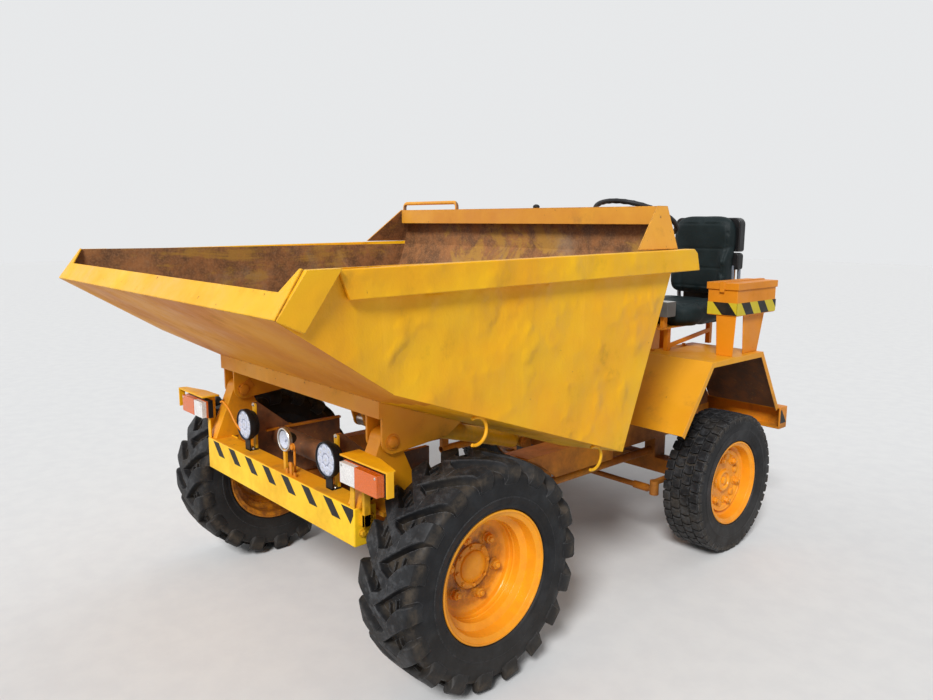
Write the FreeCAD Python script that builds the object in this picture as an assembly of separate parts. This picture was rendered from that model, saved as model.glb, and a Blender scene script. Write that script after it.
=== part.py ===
import FreeCAD, Part
import math
import os
from FreeCAD import Vector as V

os.makedirs("parts", exist_ok=True)

# Site dumper with fixed front drive wheels, steered rear wheels and a front tipping skip.
# Lengths are in millimetres. While it is built, y = 0 is the front axle, +x is the
# machine's left, the skip looks towards -y and z = 0 is the ground.

# Wheels and axles
wheelbase = 1590.0
front_tyre_radius = 386.5
front_tyre_width = 264.0
front_rim_radius = 224.0
front_seat_radius = 207.0
front_wheel_x = 727.0
rear_tyre_radius = 325.0
rear_tyre_width = 188.0
rear_rim_radius = 196.0
rear_seat_radius = 180.0
rear_wheel_x = 702.0
front_dish = -10.0
rear_dish = 22.0
disc_thickness = 9.0
rim_plate = 7.0
flange_width = 12.0
well_depth = 28.0
front_hub_radius = 82.0
rear_hub_radius = 52.0
axle_tube_radius = 48.0
diff_radius = 118.0
diff_nose_start = 60.0
diff_nose = 130.0
gearbox_half_width = 130.0
gearbox_gap = 120.0
engine_side_gap = 110.0
engine_top_gap = 130.0
stub_radius = 30.0
kingpin_x = 540.0
kingpin_radius = 16.0
steer_arm_reach = 280.0
steer_eye_radius = 21.0
tie_rod_radius = 13.0
run_gap = 0.3
tyre_facets = 18
rear_tyre_facets = 32
lug_facets = 24
lugs_per_side = 18
lug_height = 32.0
fit_gap = 0.05
rim_share = 0.86
lug_chamfer = 26.0

# Corners of a lug: share of the tyre's half width, share of the lug pitch ahead of its middle
lug_corners = ((-0.30, 0.73), (1.14, -0.35), (1.14, -0.74), (0.44, -0.40), (-0.045, 0.25))

# Hub caps: rise above the wheel's disc, share of the hub's radius
front_cap = ((0.0, 1.0), (6.0, 1.0), (8.0, 0.95), (8.0, 0.71), (14.0, 0.66), (20.0, 0.54), (23.0, 0.0))
rear_cap = ((0.0, 1.0), (14.0, 0.96), (14.0, 0.73), (6.0, 0.69), (6.0, 0.0))

# Skip shape
plate = 6.0
skip_half_width = 845.0
floor_half_width = 560.0
lip_half_width = 896.0
lip_front_y = -776.0
lip_low_z = 1286.0
lip_top_y = -691.0
rim_top_z = 1402.0
bend_y = -400.0
ramp_slope = 0.633
floor_front_y = -250.0
side_slope = 0.354
back_foot_y = 640.0
back_foot_z = 680.0
back_lean = 0.40
back_top_z = rim_top_z + 170
back_top_half = 792.0
lip_strip = 74.0
lip_side_strip = 54.0
lip_cheek_stand = 4.0
lip_return = 100.0
rim_height = 82.0
rim_depth = 35.0
rim_rear_overhang = 88.0
rim_rear_rise = 16.0
rim_end_round = 16.0
channel_height = 62.0
channel_depth = 57.0
wing_foot_y = 680.0
hook_front_y = -75.0
hook_rear_y = 500.0
hook_inset = 25.0
handle_left_x = -390.0
handle_right_x = -810.0
handle_radius = 9.0
handle_rise = 34.0
handle_bend = 22.0
hook_radius = 5.5
hook_bend = 44.0
hook_opening = 112.0

# Skip pivot and tipping cylinder
pivot_y = -210.0
pivot_z = 820.0
pivot_pin_radius = 19.0
ear_inner_x = 480.0
ear_gap = 74.0
ear_plate = 10.0
ear_drop = 44.0
ear_length = 330.0
ear_round = 42.0
pin_head = 14.0
pin_head_rise = 9.0
ram_base_y = 960.0
ram_base_z = 480.0
ram_eye_y = 75.0
ram_eye_z = 735.0
barrel_radius = 38.0
piston_rod_radius = 20.0
ram_pin_radius = 15.0
ram_lug_gap = 62.0

# Frame
rail_x = 345.0
rail_width = 60.0
rail_height = 110.0
rail_bottom_z = 460.0
side_plate_x = 440.0
frame_front_y = -290.0
riser_front_y = -255.0
riser_rear_y = 150.0
riser_top_z = 680.0
riser_horn_z = 800.0
cheek_front_y = 560.0
cheek_rear_y = 1120.0
bumper_front_y = -345.0
bumper_half_width = 549.0
bumper_bottom_z = 492.0
bumper_height = 130.0
bumper_depth = 85.0
cross_tube_y = -135.0
cross_tube_z = 640.0
cross_tube_radius = 42.0
steel = 8.0
engine_bearer_ys = (wheelbase - 150, wheelbase + 210)
bearer_depth = 50.0
stay_front_y = wheelbase - 830
stay_z = 395.0
stay_radius = 19.0
engine_bottom_z = 500.0
engine_front_y = wheelbase - 205
engine_rear_y = wheelbase + 290
rear_beam_front_y = wheelbase + 440
rear_beam_depth = 75.0
rear_beam_bottom_z = 500.0
rear_beam_height = 110.0
rear_beam_half_width = 770.0

# Mudguards, deck and driver's place
deck_front_y = wheelbase - 690
guard_inner_x = rail_x + rail_width / 2
guard_outer_x = 760.0
guard_top_z = 915.0
guard_front_foot_y = wheelbase - 420
guard_front_foot_z = 620.0
guard_front_top_y = wheelbase - 205
guard_rear_top_y = wheelbase + 245
guard_rear_foot_z = 610.0
sheet = 5.0
guard_lip = 26.0
seat_x = 335.0
seat_width = 440.0
cushion_front_y = wheelbase - 60
cushion_depth = 430.0
cushion_bottom_z = 1030.0
cushion_height = 110.0
backrest_y = wheelbase + 395
backrest_thickness = 105.0
backrest_width = 385.0
backrest_height = 430.0
wheel_centre_y = wheelbase - 225
wheel_centre_z = 1535.0
steering_wheel_radius = 190.0
steering_wheel_tilt = 24.0
steering_rim_radius = 13.0
toolbox_front_y = wheelbase - 14
toolbox_length = 355.0
toolbox_inner_x = 605.0
toolbox_outer_x = 752.0
toolbox_bottom_z = 1100.0
toolbox_height = 118.0
toolbox_lid_height = 32.0
bonnet_left_x = 60.0
bonnet_right_x = -365.0
bonnet_front_y = wheelbase - 330
bonnet_rear_y = wheelbase + 425
bonnet_top_z = 1120.0
bonnet_lid_height = 90.0
louvre_pitch = 36.0
louvre_rise = 4.0

# Levers: across, along from the rear axle, standing on the deck (1) or the gearbox (-1), knob height,
# lean to the rear, knob radius
lever_table = (
    (110.0, -300.0, 1, 1180.0, 40.0, 20.0),
    (170.0, -260.0, 1, 1080.0, 40.0, 20.0),
    (-100.0, -440.0, -1, 1590.0, 10.0, 17.0),
)

# Lamps
work_lamp_radius = 62.0
work_lamp_depth = 45.0
work_lamp_y = -320.0
work_lamp_z = 727.0
work_lamp_xs = (339.0, -262.0)
lamp_post_top_z = 806.0
head_lamp_x = 53.0
head_lamp_radius = 44.0
head_lamp_z = 735.0
signal_x = 620.0
signal_width = 205.0
signal_height = 74.0
signal_z = 745.0
signal_front_y = -378.0
signal_depth = 48.0
tail_lamp_width = 100.0
tail_lamp_height = 90.0

# The origin is moved to the middle of the overall length when a piece is saved.
lip_rise = V(0, lip_top_y - lip_front_y, rim_top_z - lip_low_z)
front_end_y = lip_front_y - plate * lip_rise.z / lip_rise.Length
rear_end_y = rear_beam_front_y + rear_beam_depth
middle_y = (front_end_y + rear_end_y) / 2

big = 6000.0
across = V(1, 0, 0)
along = V(0, 1, 0)
up = V(0, 0, 1)


def save(name, *solids):
    """Write one piece, moved so that the origin is at the middle of the footprint."""
    shape = solids[0] if len(solids) == 1 else Part.makeCompound(list(solids))
    shape = shape.copy()
    shape.translate(V(0, -middle_y, 0))
    shape.exportStep("parts/" + name + ".step")


def mirror(shape):
    return shape.mirror(V(0, 0, 0), across)


def pair(shape):
    return [shape, mirror(shape)]


def block(x0, x1, y0, y1, z0, z1):
    return Part.makeBox(x1 - x0, y1 - y0, z1 - z0, V(x0, y0, z0))


def profile_yz(points, x0, x1):
    """Prism across the machine from an outline of (y, z) points."""
    wire = Part.makePolygon([V(x0, y, z) for y, z in points + points[:1]])
    return Part.Face(wire).extrude(V(x1 - x0, 0, 0))


def profile_xz(points, y0, y1):
    """Prism along the machine from an outline of (x, z) points."""
    wire = Part.makePolygon([V(x, y0, z) for x, z in points + points[:1]])
    return Part.Face(wire).extrude(V(0, y1 - y0, 0))


def offset_path(points, distance):
    """Open path of (y, z) points moved to its right by a distance."""
    lines = []
    for (y0, z0), (y1, z1) in zip(points, points[1:]):
        length = math.hypot(y1 - y0, z1 - z0)
        step = ((y1 - y0) / length, (z1 - z0) / length)
        shift = (distance * step[1], -distance * step[0])
        lines.append(((y0 + shift[0], z0 + shift[1]), step, (y1 + shift[0], z1 + shift[1])))
    path = [lines[0][0]]
    for (start, step, end), (other, turn, last) in zip(lines, lines[1:]):
        across_both = step[0] * turn[1] - step[1] * turn[0]
        gap = (other[0] - start[0], other[1] - start[1])
        reach = (gap[0] * turn[1] - gap[1] * turn[0]) / across_both
        path.append((start[0] + step[0] * reach, start[1] + step[1] * reach))
    path.append(lines[-1][2])
    return path


def round_corners(solid, radius, corners):
    """Round the edges that run across the machine through (y, z) corners."""
    chosen = []
    for edge in solid.Edges:
        ends = [vertex.Point for vertex in edge.Vertexes]
        if len(ends) < 2 or abs(ends[0].x - ends[1].x) < 1:
            continue
        for y, z in corners:
            if max(abs(ends[0].y - y), abs(ends[1].y - y), abs(ends[0].z - z), abs(ends[1].z - z)) < 0.1:
                chosen.append(edge)
    return solid.makeFillet(radius, chosen)


def rod(radius, start, end):
    line = end - start
    return Part.makeCylinder(radius, line.Length, start, line)


def ring(outer, inner, start, end):
    return rod(outer, start, end).cut(rod(inner, start, end))


def round_lug(radius, centre, x0, x1):
    return rod(radius, V(x0, centre.y, centre.z), V(x1, centre.y, centre.z))


def union(first, *others):
    return first.multiFuse(list(others)).removeSplitter()


def turned(profile, centre):
    """Solid turned about an axle from an outline of (x offset, radius) points."""
    wire = Part.makePolygon([V(x, 0, r) for x, r in profile + profile[:1]])
    solid = Part.Face(wire).revolve(V(0, 0, 0), across, 360)
    solid.translate(centre)
    return solid


def half_space(point, inward, inset):
    """Everything on the inner side of a plane that is moved inwards by inset."""
    solid = Part.makeBox(big, big, big, V(-big / 2, -big / 2, 0))
    turn = FreeCAD.Rotation(up, inward)
    base = point + inward.normalize() * inset
    solid.Placement = FreeCAD.Placement(base, turn)
    return solid


def side_half_width(y):
    """Half width of the skip's sides, which flare towards the lip."""
    flare = (lip_half_width - skip_half_width) / (bend_y - lip_front_y)
    return skip_half_width + max(0.0, bend_y - y) * flare


def ramp_z(y):
    return lip_low_z - ramp_slope * (y - lip_front_y)


def back_y(z):
    return back_foot_y + back_lean * (z - back_foot_z)


def floor_z(y):
    return ramp_z(floor_front_y) - side_slope * (y - floor_front_y)


def facet_z(x, y):
    """Height of the slanted facet between the skip's floor and its side."""
    edge = ramp_z(bend_y) - side_slope * (y - bend_y)
    return edge - (edge - floor_z(y)) * (skip_half_width - x) / (skip_half_width - floor_half_width)


def tub_solid(inset, open_by):
    """Skip body with all walls moved in by inset and its open faces moved out by open_by."""
    bend = V(skip_half_width, bend_y, ramp_z(bend_y))
    corner = V(floor_half_width, floor_front_y, ramp_z(floor_front_y))
    facet = V(0, 1, -side_slope).cross(corner - bend)
    lip_low = V(0, lip_front_y, lip_low_z)
    planes = [
        (lip_low, V(0, ramp_slope, 1), inset),
        (corner, V(0, side_slope, 1), inset),
        (bend, facet, inset),
        (V(-bend.x, bend.y, bend.z), V(-facet.x, facet.y, facet.z), inset),
        (V(0, back_foot_y, back_foot_z), V(0, -1, back_lean), inset),
        (V(0, 0, rim_top_z), V(0, 0, -1), -open_by),
        (lip_low, V(0, lip_rise.z, -lip_rise.y), -open_by),
    ]
    widest = max(lip_half_width, skip_half_width)
    body = block(-widest, widest, lip_front_y - 300, back_top_z, 0, back_top_z)
    for point, inward, shift in planes:
        body = body.common(half_space(point, inward, shift))
    slope = side_half_width(bend_y - 1) - side_half_width(bend_y)
    flared = body
    straight = body
    for side in (-1, 1):
        edge = V(side * skip_half_width, bend_y, 0)
        flared = flared.common(half_space(edge, V(-side, -slope, 0), inset))
        straight = straight.common(half_space(edge, V(-side, 0, 0), inset))
    body = flared.fuse(straight) if lip_half_width > skip_half_width else flared.common(straight)
    return body.removeSplitter()


def skip_tub():
    outer = tub_solid(0, 0)
    inner = tub_solid(plate, 50)
    shell = outer.cut(inner)
    top = [(-skip_half_width, rim_top_z), (skip_half_width, rim_top_z),
           (back_top_half, back_top_z), (-back_top_half, back_top_z)]
    wall_y = back_y(rim_top_z)
    upper_wall = profile_xz(top, wall_y - plate, wall_y)
    return union(shell, upper_wall)


def skip_lip():
    """Turned up front edge in the plane of the mouth, with a return plate at each side."""
    length = lip_rise.Length
    step = lip_rise / length
    top_half = side_half_width(lip_top_y)

    def at(x, s):
        return V(x, lip_front_y, lip_low_z) + step * s

    outline = [at(-lip_half_width, 0), at(lip_half_width, 0), at(top_half, length),
               at(top_half - 12, length), at(lip_half_width - lip_side_strip, lip_strip),
               at(lip_side_strip - lip_half_width, lip_strip), at(12 - top_half, length),
               at(-top_half, length)]
    face = Part.Face(Part.makePolygon(outline + outline[:1]))
    frame = face.extrude(V(0, -step.z, step.y) * plate)
    returns = [(lip_front_y, lip_low_z), (lip_top_y, rim_top_z),
               (lip_top_y + lip_return, rim_top_z),
               (lip_front_y + lip_return * 0.75, ramp_z(lip_front_y + lip_return * 0.75) + 11)]
    cheek = profile_yz(returns, skip_half_width, max(lip_half_width, skip_half_width) + lip_cheek_stand)
    cheek = cheek.cut(tub_solid(0, 50))
    parts = [frame] + pair(cheek)
    return union(*parts)


def skip_side_rims():
    """Square section edge along the top of each side."""
    rear = back_y(rim_top_z) + rim_rear_overhang
    front = lip_top_y + lip_return
    top = rim_top_z + rim_rear_rise
    outline = [(front, rim_top_z - 4), (rear - rim_end_round, top), (rear + 6, top - rim_end_round),
               (rear + 26, top - rim_height), (front + 33, rim_top_z - rim_height)]
    bar = profile_yz(outline, skip_half_width - plate, skip_half_width + rim_depth)
    bar = bar.cut(tub_solid(0, 50))
    return pair(bar)


def skip_rear_rim():
    """Folded channel on top of the back wall, with a wing plate at each end."""
    wall_y = back_y(rim_top_z)
    front = wall_y - channel_depth
    low = back_top_z - channel_height
    fold = [(wall_y - plate, back_top_z), (wall_y, back_top_z), (wall_y, back_top_z + plate),
            (front - plate, back_top_z + plate), (front - plate, low), (front, low), (front, back_top_z)]
    channel = profile_yz(fold, -back_top_half, back_top_half)
    foot_x = skip_half_width
    foot_z = rim_top_z + rim_rear_rise
    wing = [V(foot_x, wing_foot_y, foot_z), V(foot_x, wall_y, foot_z),
            V(back_top_half, wall_y, back_top_z + plate), V(back_top_half, front - plate, back_top_z + plate)]
    face = Part.Face(Part.makePolygon(wing + wing[:1]))
    slant = V(back_top_z + plate - foot_z, 0, foot_x - back_top_half).normalize()
    solid = face.extrude(slant * plate)
    return [channel] + pair(solid)


def skip_clevises():
    """Cross channel under the ramp and two ears at each side for the pivot pins."""
    beam_bottom = ramp_z(floor_front_y) - 30
    beam_front = floor_front_y - 12
    beam_back = floor_front_y + 90
    outer_x = ear_inner_x + ear_gap + 2 * ear_plate
    beam = block(-outer_x, outer_x, beam_front, beam_back, beam_bottom - 20, ramp_z(floor_front_y) + 120)
    front = floor_front_y
    rear = front + ear_length
    low = pivot_z - ear_drop
    ear = [(front, low), (rear - 60, low + 24), (rear, floor_z(rear)),
           (rear, floor_z(rear) + 200), (front, ramp_z(front) + 100)]
    plates = []
    for x0 in (ear_inner_x, ear_inner_x + ear_plate + ear_gap):
        solid = round_corners(profile_yz(ear, x0, x0 + ear_plate), ear_round, ear[:1])
        plates += pair(solid)
    body = union(beam, *plates)
    body = body.cut(tub_solid(0, 50))
    inner = block(-ear_inner_x + 30, ear_inner_x - 30, beam_front + steel, beam_back - steel, 0, big / 4)
    body = body.cut(inner)
    for side in (-1, 1):
        hole = rod(pivot_pin_radius + fit_gap, V(side * 300, pivot_y, pivot_z),
                   V(side * outer_x, pivot_y, pivot_z))
        body = body.cut(hole)
    return body


def skip_hooks():
    """C shaped rope hooks under the lower edge of each side, open to the front."""
    x = skip_half_width - hook_inset
    turn = math.radians(hook_opening)
    hooks = []
    for y in (hook_front_y, hook_rear_y):
        centre = V(x, y, facet_z(x, y) - hook_bend - hook_radius / 2)
        start = centre + V(0, math.cos(turn), math.sin(turn)) * hook_bend
        section = Part.Wire([Part.makeCircle(hook_radius, start, V(0, -math.sin(turn), math.cos(turn)))])
        hook = Part.Face(section).revolve(centre, -across, 2 * hook_opening)
        hooks += pair(hook.cut(tub_solid(0, 50)))
    return hooks


def grab_handle():
    """Bent round bar on top of the back wall."""
    y = back_y(rim_top_z) - channel_depth / 2
    base = back_top_z + plate
    top = base + handle_rise
    bend = handle_bend
    parts = []
    for x, turn in ((handle_left_x, -1), (handle_right_x, 1)):
        parts.append(rod(handle_radius, V(x, y, base), V(x, y, top - bend)))
        section = Part.Face(Part.Wire([Part.makeCircle(handle_radius, V(x, y, top - bend), up)]))
        parts.append(section.revolve(V(x + turn * bend, y, top - bend), along, turn * 90))
    bar = rod(handle_radius, V(handle_right_x + bend, y, top), V(handle_left_x - bend, y, top))
    return union(bar, *parts)


def pivot_pins():
    outer = ear_inner_x + ear_gap + 2 * ear_plate
    inner = ear_inner_x - pin_head
    head_radius = pivot_pin_radius + pin_head_rise
    pin = rod(pivot_pin_radius, V(inner, pivot_y, pivot_z), V(outer, pivot_y, pivot_z))
    head = rod(head_radius, V(outer, pivot_y, pivot_z), V(outer + pin_head, pivot_y, pivot_z))
    nut = rod(head_radius, V(inner, pivot_y, pivot_z), V(ear_inner_x, pivot_y, pivot_z))
    return pair(union(pin, head, nut))


def skip_ram_lugs():
    """Two lugs under the skip floor, one at each side of the cylinder's eye."""
    lugs = []
    centre = V(0, ram_eye_y, ram_eye_z)
    for side in (-1, 1):
        x0 = side * ram_lug_gap / 2
        x1 = side * (ram_lug_gap / 2 + ear_plate)
        low, high = min(x0, x1), max(x0, x1)
        web = profile_yz([(ram_eye_y - 30, ram_eye_z), (ram_eye_y + 30, ram_eye_z),
                          (ram_eye_y + 70, floor_z(ram_eye_y + 70)), (ram_eye_y - 70, floor_z(ram_eye_y - 70))],
                         low, high)
        lug = union(web, round_lug(30, centre, low, high))
        lugs.append(lug.cut(round_lug(ram_pin_radius, centre, low - 1, high + 1)))
    return lugs


def chassis_frame():
    """Two side rails with their cross members, outer side plates and the pivot risers."""
    top = rail_bottom_z + rail_height
    rear = rear_beam_front_y
    rail = block(rail_x - rail_width / 2, rail_x + rail_width / 2, frame_front_y, rear, rail_bottom_z, top)
    parts = pair(rail)
    cross_front = block(-rail_x, rail_x, frame_front_y, frame_front_y + steel * 2, rail_bottom_z, top)
    ram_cross = block(-rail_x, rail_x, ram_base_y + 45, ram_base_y + 105, rail_bottom_z, top - 20)
    rear_cross = block(-rail_x, rail_x, rear - 60, rear, rail_bottom_z, top)
    parts += [cross_front, ram_cross, rear_cross]
    for y in engine_bearer_ys:
        parts.append(block(-rail_x, rail_x, y, y + bearer_depth, rail_bottom_z + 5, engine_bottom_z))
    side_low = rail_bottom_z - 4
    cheek = [(cheek_front_y, top), (cheek_front_y + 90, rail_bottom_z + 60), (cheek_front_y + 175, side_low),
             (cheek_rear_y, side_low), (cheek_rear_y, top)]
    cheek_solid = profile_yz(cheek, side_plate_x - steel, side_plate_x)
    cheek_top = block(rail_x, side_plate_x, cheek_front_y, cheek_rear_y, top - steel, top)
    riser_low = rail_bottom_z + steel
    riser = [(riser_front_y, riser_low), (riser_front_y, riser_horn_z), (riser_front_y + 20, riser_horn_z),
             (riser_front_y + 165, riser_top_z), (riser_rear_y, riser_top_z), (riser_rear_y, riser_low)]
    riser_x = rail_x - rail_width / 2
    riser_solid = profile_yz(riser, riser_x - steel, riser_x)
    tube_hole = rod(cross_tube_radius, V(0, cross_tube_y, cross_tube_z), V(rail_x, cross_tube_y, cross_tube_z))
    riser_solid = riser_solid.cut(tube_hole)
    parts += pair(cheek_solid) + pair(cheek_top) + pair(riser_solid)
    return union(*parts)


def pivot_brackets():
    """Upright plates from the rails to the pivot lugs, with slanted flats to the bumper ends."""
    x0 = ear_inner_x + ear_plate + run_gap + 4.7
    x1 = ear_inner_x + ear_plate + ear_gap - run_gap - 4.7
    top = rail_bottom_z + rail_height
    centre = V(0, pivot_y, pivot_z)
    upright = [(pivot_y - 34, pivot_z), (pivot_y + 34, pivot_z), (pivot_y + 150, top), (pivot_y - 20, top)]
    web = profile_yz(upright, x0, x1)
    lug = round_lug(38, centre, x0, x1)
    foot = block(rail_x, x1, pivot_y - 30, pivot_y + 150, top, top + 14)
    strut = profile_yz([(bumper_front_y + 12, bumper_bottom_z + bumper_height),
                        (bumper_front_y + 44, bumper_bottom_z + bumper_height),
                        (pivot_y - 10, pivot_z), (pivot_y - 36, pivot_z + 6)], x0, x1)
    shelf = bumper_bottom_z + bumper_height
    corner = [(bumper_front_y + 40, shelf), (pivot_y - 15, shelf), (pivot_y - 20, pivot_z - 10)]
    gusset = profile_yz(corner, x0, x0 + steel)
    body = union(web, lug, foot, strut, gusset)
    hole = rod(pivot_pin_radius + fit_gap, V(x0 - 5, pivot_y, pivot_z), V(x1 + 5, pivot_y, pivot_z))
    body = body.cut(hole)
    return pair(body)


def front_bumper():
    """Folded channel with its face to the front and a flat shelf on top."""
    z0 = bumper_bottom_z
    z1 = z0 + bumper_height
    y0 = bumper_front_y
    y1 = y0 + bumper_depth
    fold = [(y0, z0), (frame_front_y, z0), (frame_front_y, z0 + steel), (y0 + steel, z0 + steel),
            (y0 + steel, z1 - steel), (y1, z1 - steel), (y1, z1), (y0, z1)]
    channel = profile_yz(fold, -bumper_half_width, bumper_half_width)
    end = block(bumper_half_width - steel, bumper_half_width, y0, y1, z0, z1)
    bracket = block(rail_x - rail_width / 2, rail_x + rail_width / 2, y0 + steel, frame_front_y,
                    z0 + steel, z1 - steel)
    return union(channel, *(pair(end) + pair(bracket)))


def cross_tube():
    """Round tube across the frame behind the lamps."""
    half = ear_inner_x + ear_plate + 5
    return ring(cross_tube_radius, cross_tube_radius - steel,
                V(-half, cross_tube_y, cross_tube_z), V(half, cross_tube_y, cross_tube_z))


def work_lamps():
    """Round lamps with a sunk lens, each on a foot and a post that stand on the bumper."""
    shelf = bumper_bottom_z + bumper_height
    lamps = []
    for x in work_lamp_xs:
        centre = V(x, work_lamp_y, work_lamp_z)
        front = rod(work_lamp_radius, centre, centre + V(0, work_lamp_depth * 0.6, 0))
        front = front.cut(rod(work_lamp_radius - 7, centre, centre + V(0, 4, 0)))
        back = Part.makeCone(work_lamp_radius, work_lamp_radius * 0.8, work_lamp_depth * 0.4,
                             centre + V(0, work_lamp_depth * 0.6, 0), along)
        foot = block(x - 20, x + 20, work_lamp_y + 14, work_lamp_y + 34,
                     shelf, work_lamp_z - work_lamp_radius + 5)
        rear = work_lamp_y + work_lamp_depth
        post = block(x - 12, x + 12, rear, rear + steel, shelf, lamp_post_top_z)
        lamps.append(union(front, back, foot, post))
    return lamps


def head_lamp():
    centre = V(head_lamp_x, work_lamp_y, head_lamp_z)
    shell = rod(head_lamp_radius, centre, centre + V(0, 16, 0))
    bowl = Part.makeCone(head_lamp_radius - 3, 16, 34, centre + V(0, 16, 0), along)
    shelf = bumper_bottom_z + bumper_height
    foot = block(head_lamp_x - 8, head_lamp_x + 8, work_lamp_y + 4, work_lamp_y + 14,
                 shelf, head_lamp_z - head_lamp_radius + 4)
    return union(shell, bowl, foot)


def signal_lamps():
    """Base with a narrower lens in front."""
    x0 = signal_x - signal_width / 2
    low = signal_z - signal_height / 2
    back = signal_front_y + signal_depth
    base = block(x0, x0 + signal_width, back - 20, back, low, low + signal_height)
    lens = block(x0 + 3, x0 + signal_width - 3, signal_front_y, back - 20, low + 3, low + signal_height - 3)
    return pair(union(base, lens))


def signal_guards():
    """Bent flat over each direction lamp, with its outer end turned down."""
    x0 = signal_x - signal_width / 2
    x1 = signal_x + signal_width / 2 + 45
    z1 = signal_z + signal_height / 2 + 14
    y0 = signal_front_y + 4
    y1 = signal_front_y + signal_depth + 6
    top = block(x0, x1, y0, y1 + 24, z1, z1 + sheet)
    drop = block(x1 - sheet, x1, y0, y1, z1 - 75, z1)
    post_x = bumper_half_width + 13
    post = block(post_x, post_x + 13, y1, y1 + 24, bumper_bottom_z + 70, z1)
    foot = block(bumper_half_width, post_x + 13, y1, y1 + 24, bumper_bottom_z + 70, bumper_bottom_z + 110)
    hold = block(post_x, post_x + 70, y1 - 6, y1, signal_z - 20, z1)
    return pair(union(top, drop, post, foot, hold))


def front_axle():
    """Drive axle with a round case in the middle, carried by pads on the rails."""
    z = front_tyre_radius
    tube = rod(axle_tube_radius, V(-front_wheel_x + 150, 0, z), V(front_wheel_x - 150, 0, z))
    case = rod(diff_radius, V(-70, 0, z), V(70, 0, z))
    nose = Part.makeCone(diff_radius - 30, 46, diff_nose, V(0, diff_nose_start, z), along)
    parts = [tube, case, nose]
    for side in (-1, 1):
        parts.append(rod(axle_tube_radius + 26, V(side * (front_wheel_x - 160), 0, z),
                         V(side * (front_wheel_x - 130), 0, z)))
        pad = block(side * rail_x - 45, side * rail_x + 45, -60, 60, z, rail_bottom_z)
        parts.append(pad)
        hub_x = front_wheel_x + front_dish - disc_thickness - run_gap
        parts.append(rod(stub_radius, V(side * (front_wheel_x - 135), 0, z), V(side * hub_x, 0, z)))
        parts.append(rod(front_hub_radius - 8, V(side * (hub_x - 14), 0, z), V(side * hub_x, 0, z)))
    return union(*parts)


def wheel_rim(rim_radius, seat_radius, width, dish, hub_radius, cap, sign):
    """Pressed wheel: flanges, bead seats, stepped well, dished disc and hub cap."""
    half = width / 2
    well = seat_radius - well_depth
    skin = well - rim_plate
    back = dish - disc_thickness
    outer = [(half, rim_radius), (half - flange_width, rim_radius), (half - flange_width - 4, seat_radius),
             (half - 50, seat_radius - 6), (half - 62, well)]
    outer += [(-x, r) for x, r in reversed(outer)]
    inner = [(half - 62, skin), (half - 50, seat_radius - 6 - rim_plate),
             (half - flange_width, seat_radius - rim_plate), (half - flange_width / 2, rim_radius - rim_plate),
             (half, rim_radius - rim_plate)]
    behind = [(-x, r) for x, r in reversed(inner)]
    dish_back = [(back + 9, skin), (back + 9, skin * 0.93), (back, skin * 0.86), (back, 0.0)]
    dish_front = [(dish + rise, share * hub_radius) for rise, share in reversed(cap)]
    dish_front += [(dish, skin * 0.84), (dish + 9, skin * 0.91), (dish + 9, skin)]
    return [(sign * x, r) for x, r in outer + behind + dish_back + dish_front + inner]


def front_rim(side):
    centre = V(side * front_wheel_x, 0, front_tyre_radius)
    profile = wheel_rim(front_rim_radius, front_seat_radius, front_tyre_width * rim_share, front_dish,
                        front_hub_radius, front_cap, side)
    return turned(profile, centre)


def rear_rim(side):
    centre = V(side * rear_wheel_x, wheelbase, rear_tyre_radius)
    profile = wheel_rim(rear_rim_radius, rear_seat_radius, rear_tyre_width * rim_share, rear_dish,
                        rear_hub_radius, rear_cap, side)
    return turned(profile, centre)


def faceted(profile, count, phase):
    """Ring of flat faces round the x axis from an outline of (x offset, radius to the flats) points."""
    stretch = 1 / math.cos(math.pi / count)
    closed = profile + profile[:1]
    faces = []
    for index in range(count):
        ends = []
        for step in (index + phase, index + 1 + phase):
            turn = 2 * math.pi * step / count
            ends.append([V(x, r * stretch * math.sin(turn), r * stretch * math.cos(turn)) for x, r in closed])
        for a, b, c, d in zip(ends[0], ends[0][1:], ends[1][1:], ends[1]):
            faces.append(Part.Face(Part.makePolygon([a, b, c, d, a])))
    solid = Part.Solid(Part.Shell(faces))
    return solid if solid.Volume > 0 else solid.reversed()


def both_halves(profile):
    return profile + [(-x, r) for x, r in reversed(profile)]


def bead(half, seat_radius, rim_radius):
    """Foot of a tyre, from the wheel's seat up along the inside of its flange."""
    foot = half * rim_share - flange_width - 4
    return [(foot, seat_radius), (foot + 3.5, rim_radius + 2)]


def front_tyre(side):
    """Tractor pattern tyre: slanted lugs that meet in a V and run down over the shoulders."""
    half = front_tyre_width / 2
    base = front_tyre_radius - lug_height
    body = bead(half, front_seat_radius, front_rim_radius)
    body += [(half * 0.94, (front_seat_radius + base) / 2 + 8), (half * 0.9, base - 8), (half * 0.62, base)]
    carcass = faceted(both_halves(body), tyre_facets, 0.0)
    crown = front_tyre_radius * math.cos(math.pi / lug_facets)
    reach = [(half * 0.5, base - 40), (half, base - 40), (half, crown - lug_chamfer), (half * 0.8, crown)]
    envelope = faceted(both_halves(reach), lug_facets, 0.0)
    pitch = 2 * math.pi * front_tyre_radius / lugs_per_side
    outline = [V(half * reach_x, -pitch * ahead, base - 70) for reach_x, ahead in lug_corners]
    blank = Part.Face(Part.makePolygon(outline + outline[:1])).extrude(V(0, 0, 2 * lug_height + 80))
    lug = blank.common(envelope)
    lugs = []
    for index in range(lugs_per_side):
        for piece, step in ((lug.copy(), index), (mirror(lug), index + 0.5)):
            piece.rotate(V(0, 0, 0), across, step * 360.0 / lugs_per_side)
            lugs.append(piece)
    solid = union(carcass, *lugs)
    solid.translate(V(front_wheel_x, 0, front_tyre_radius))
    return solid if side > 0 else mirror(solid)


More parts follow.
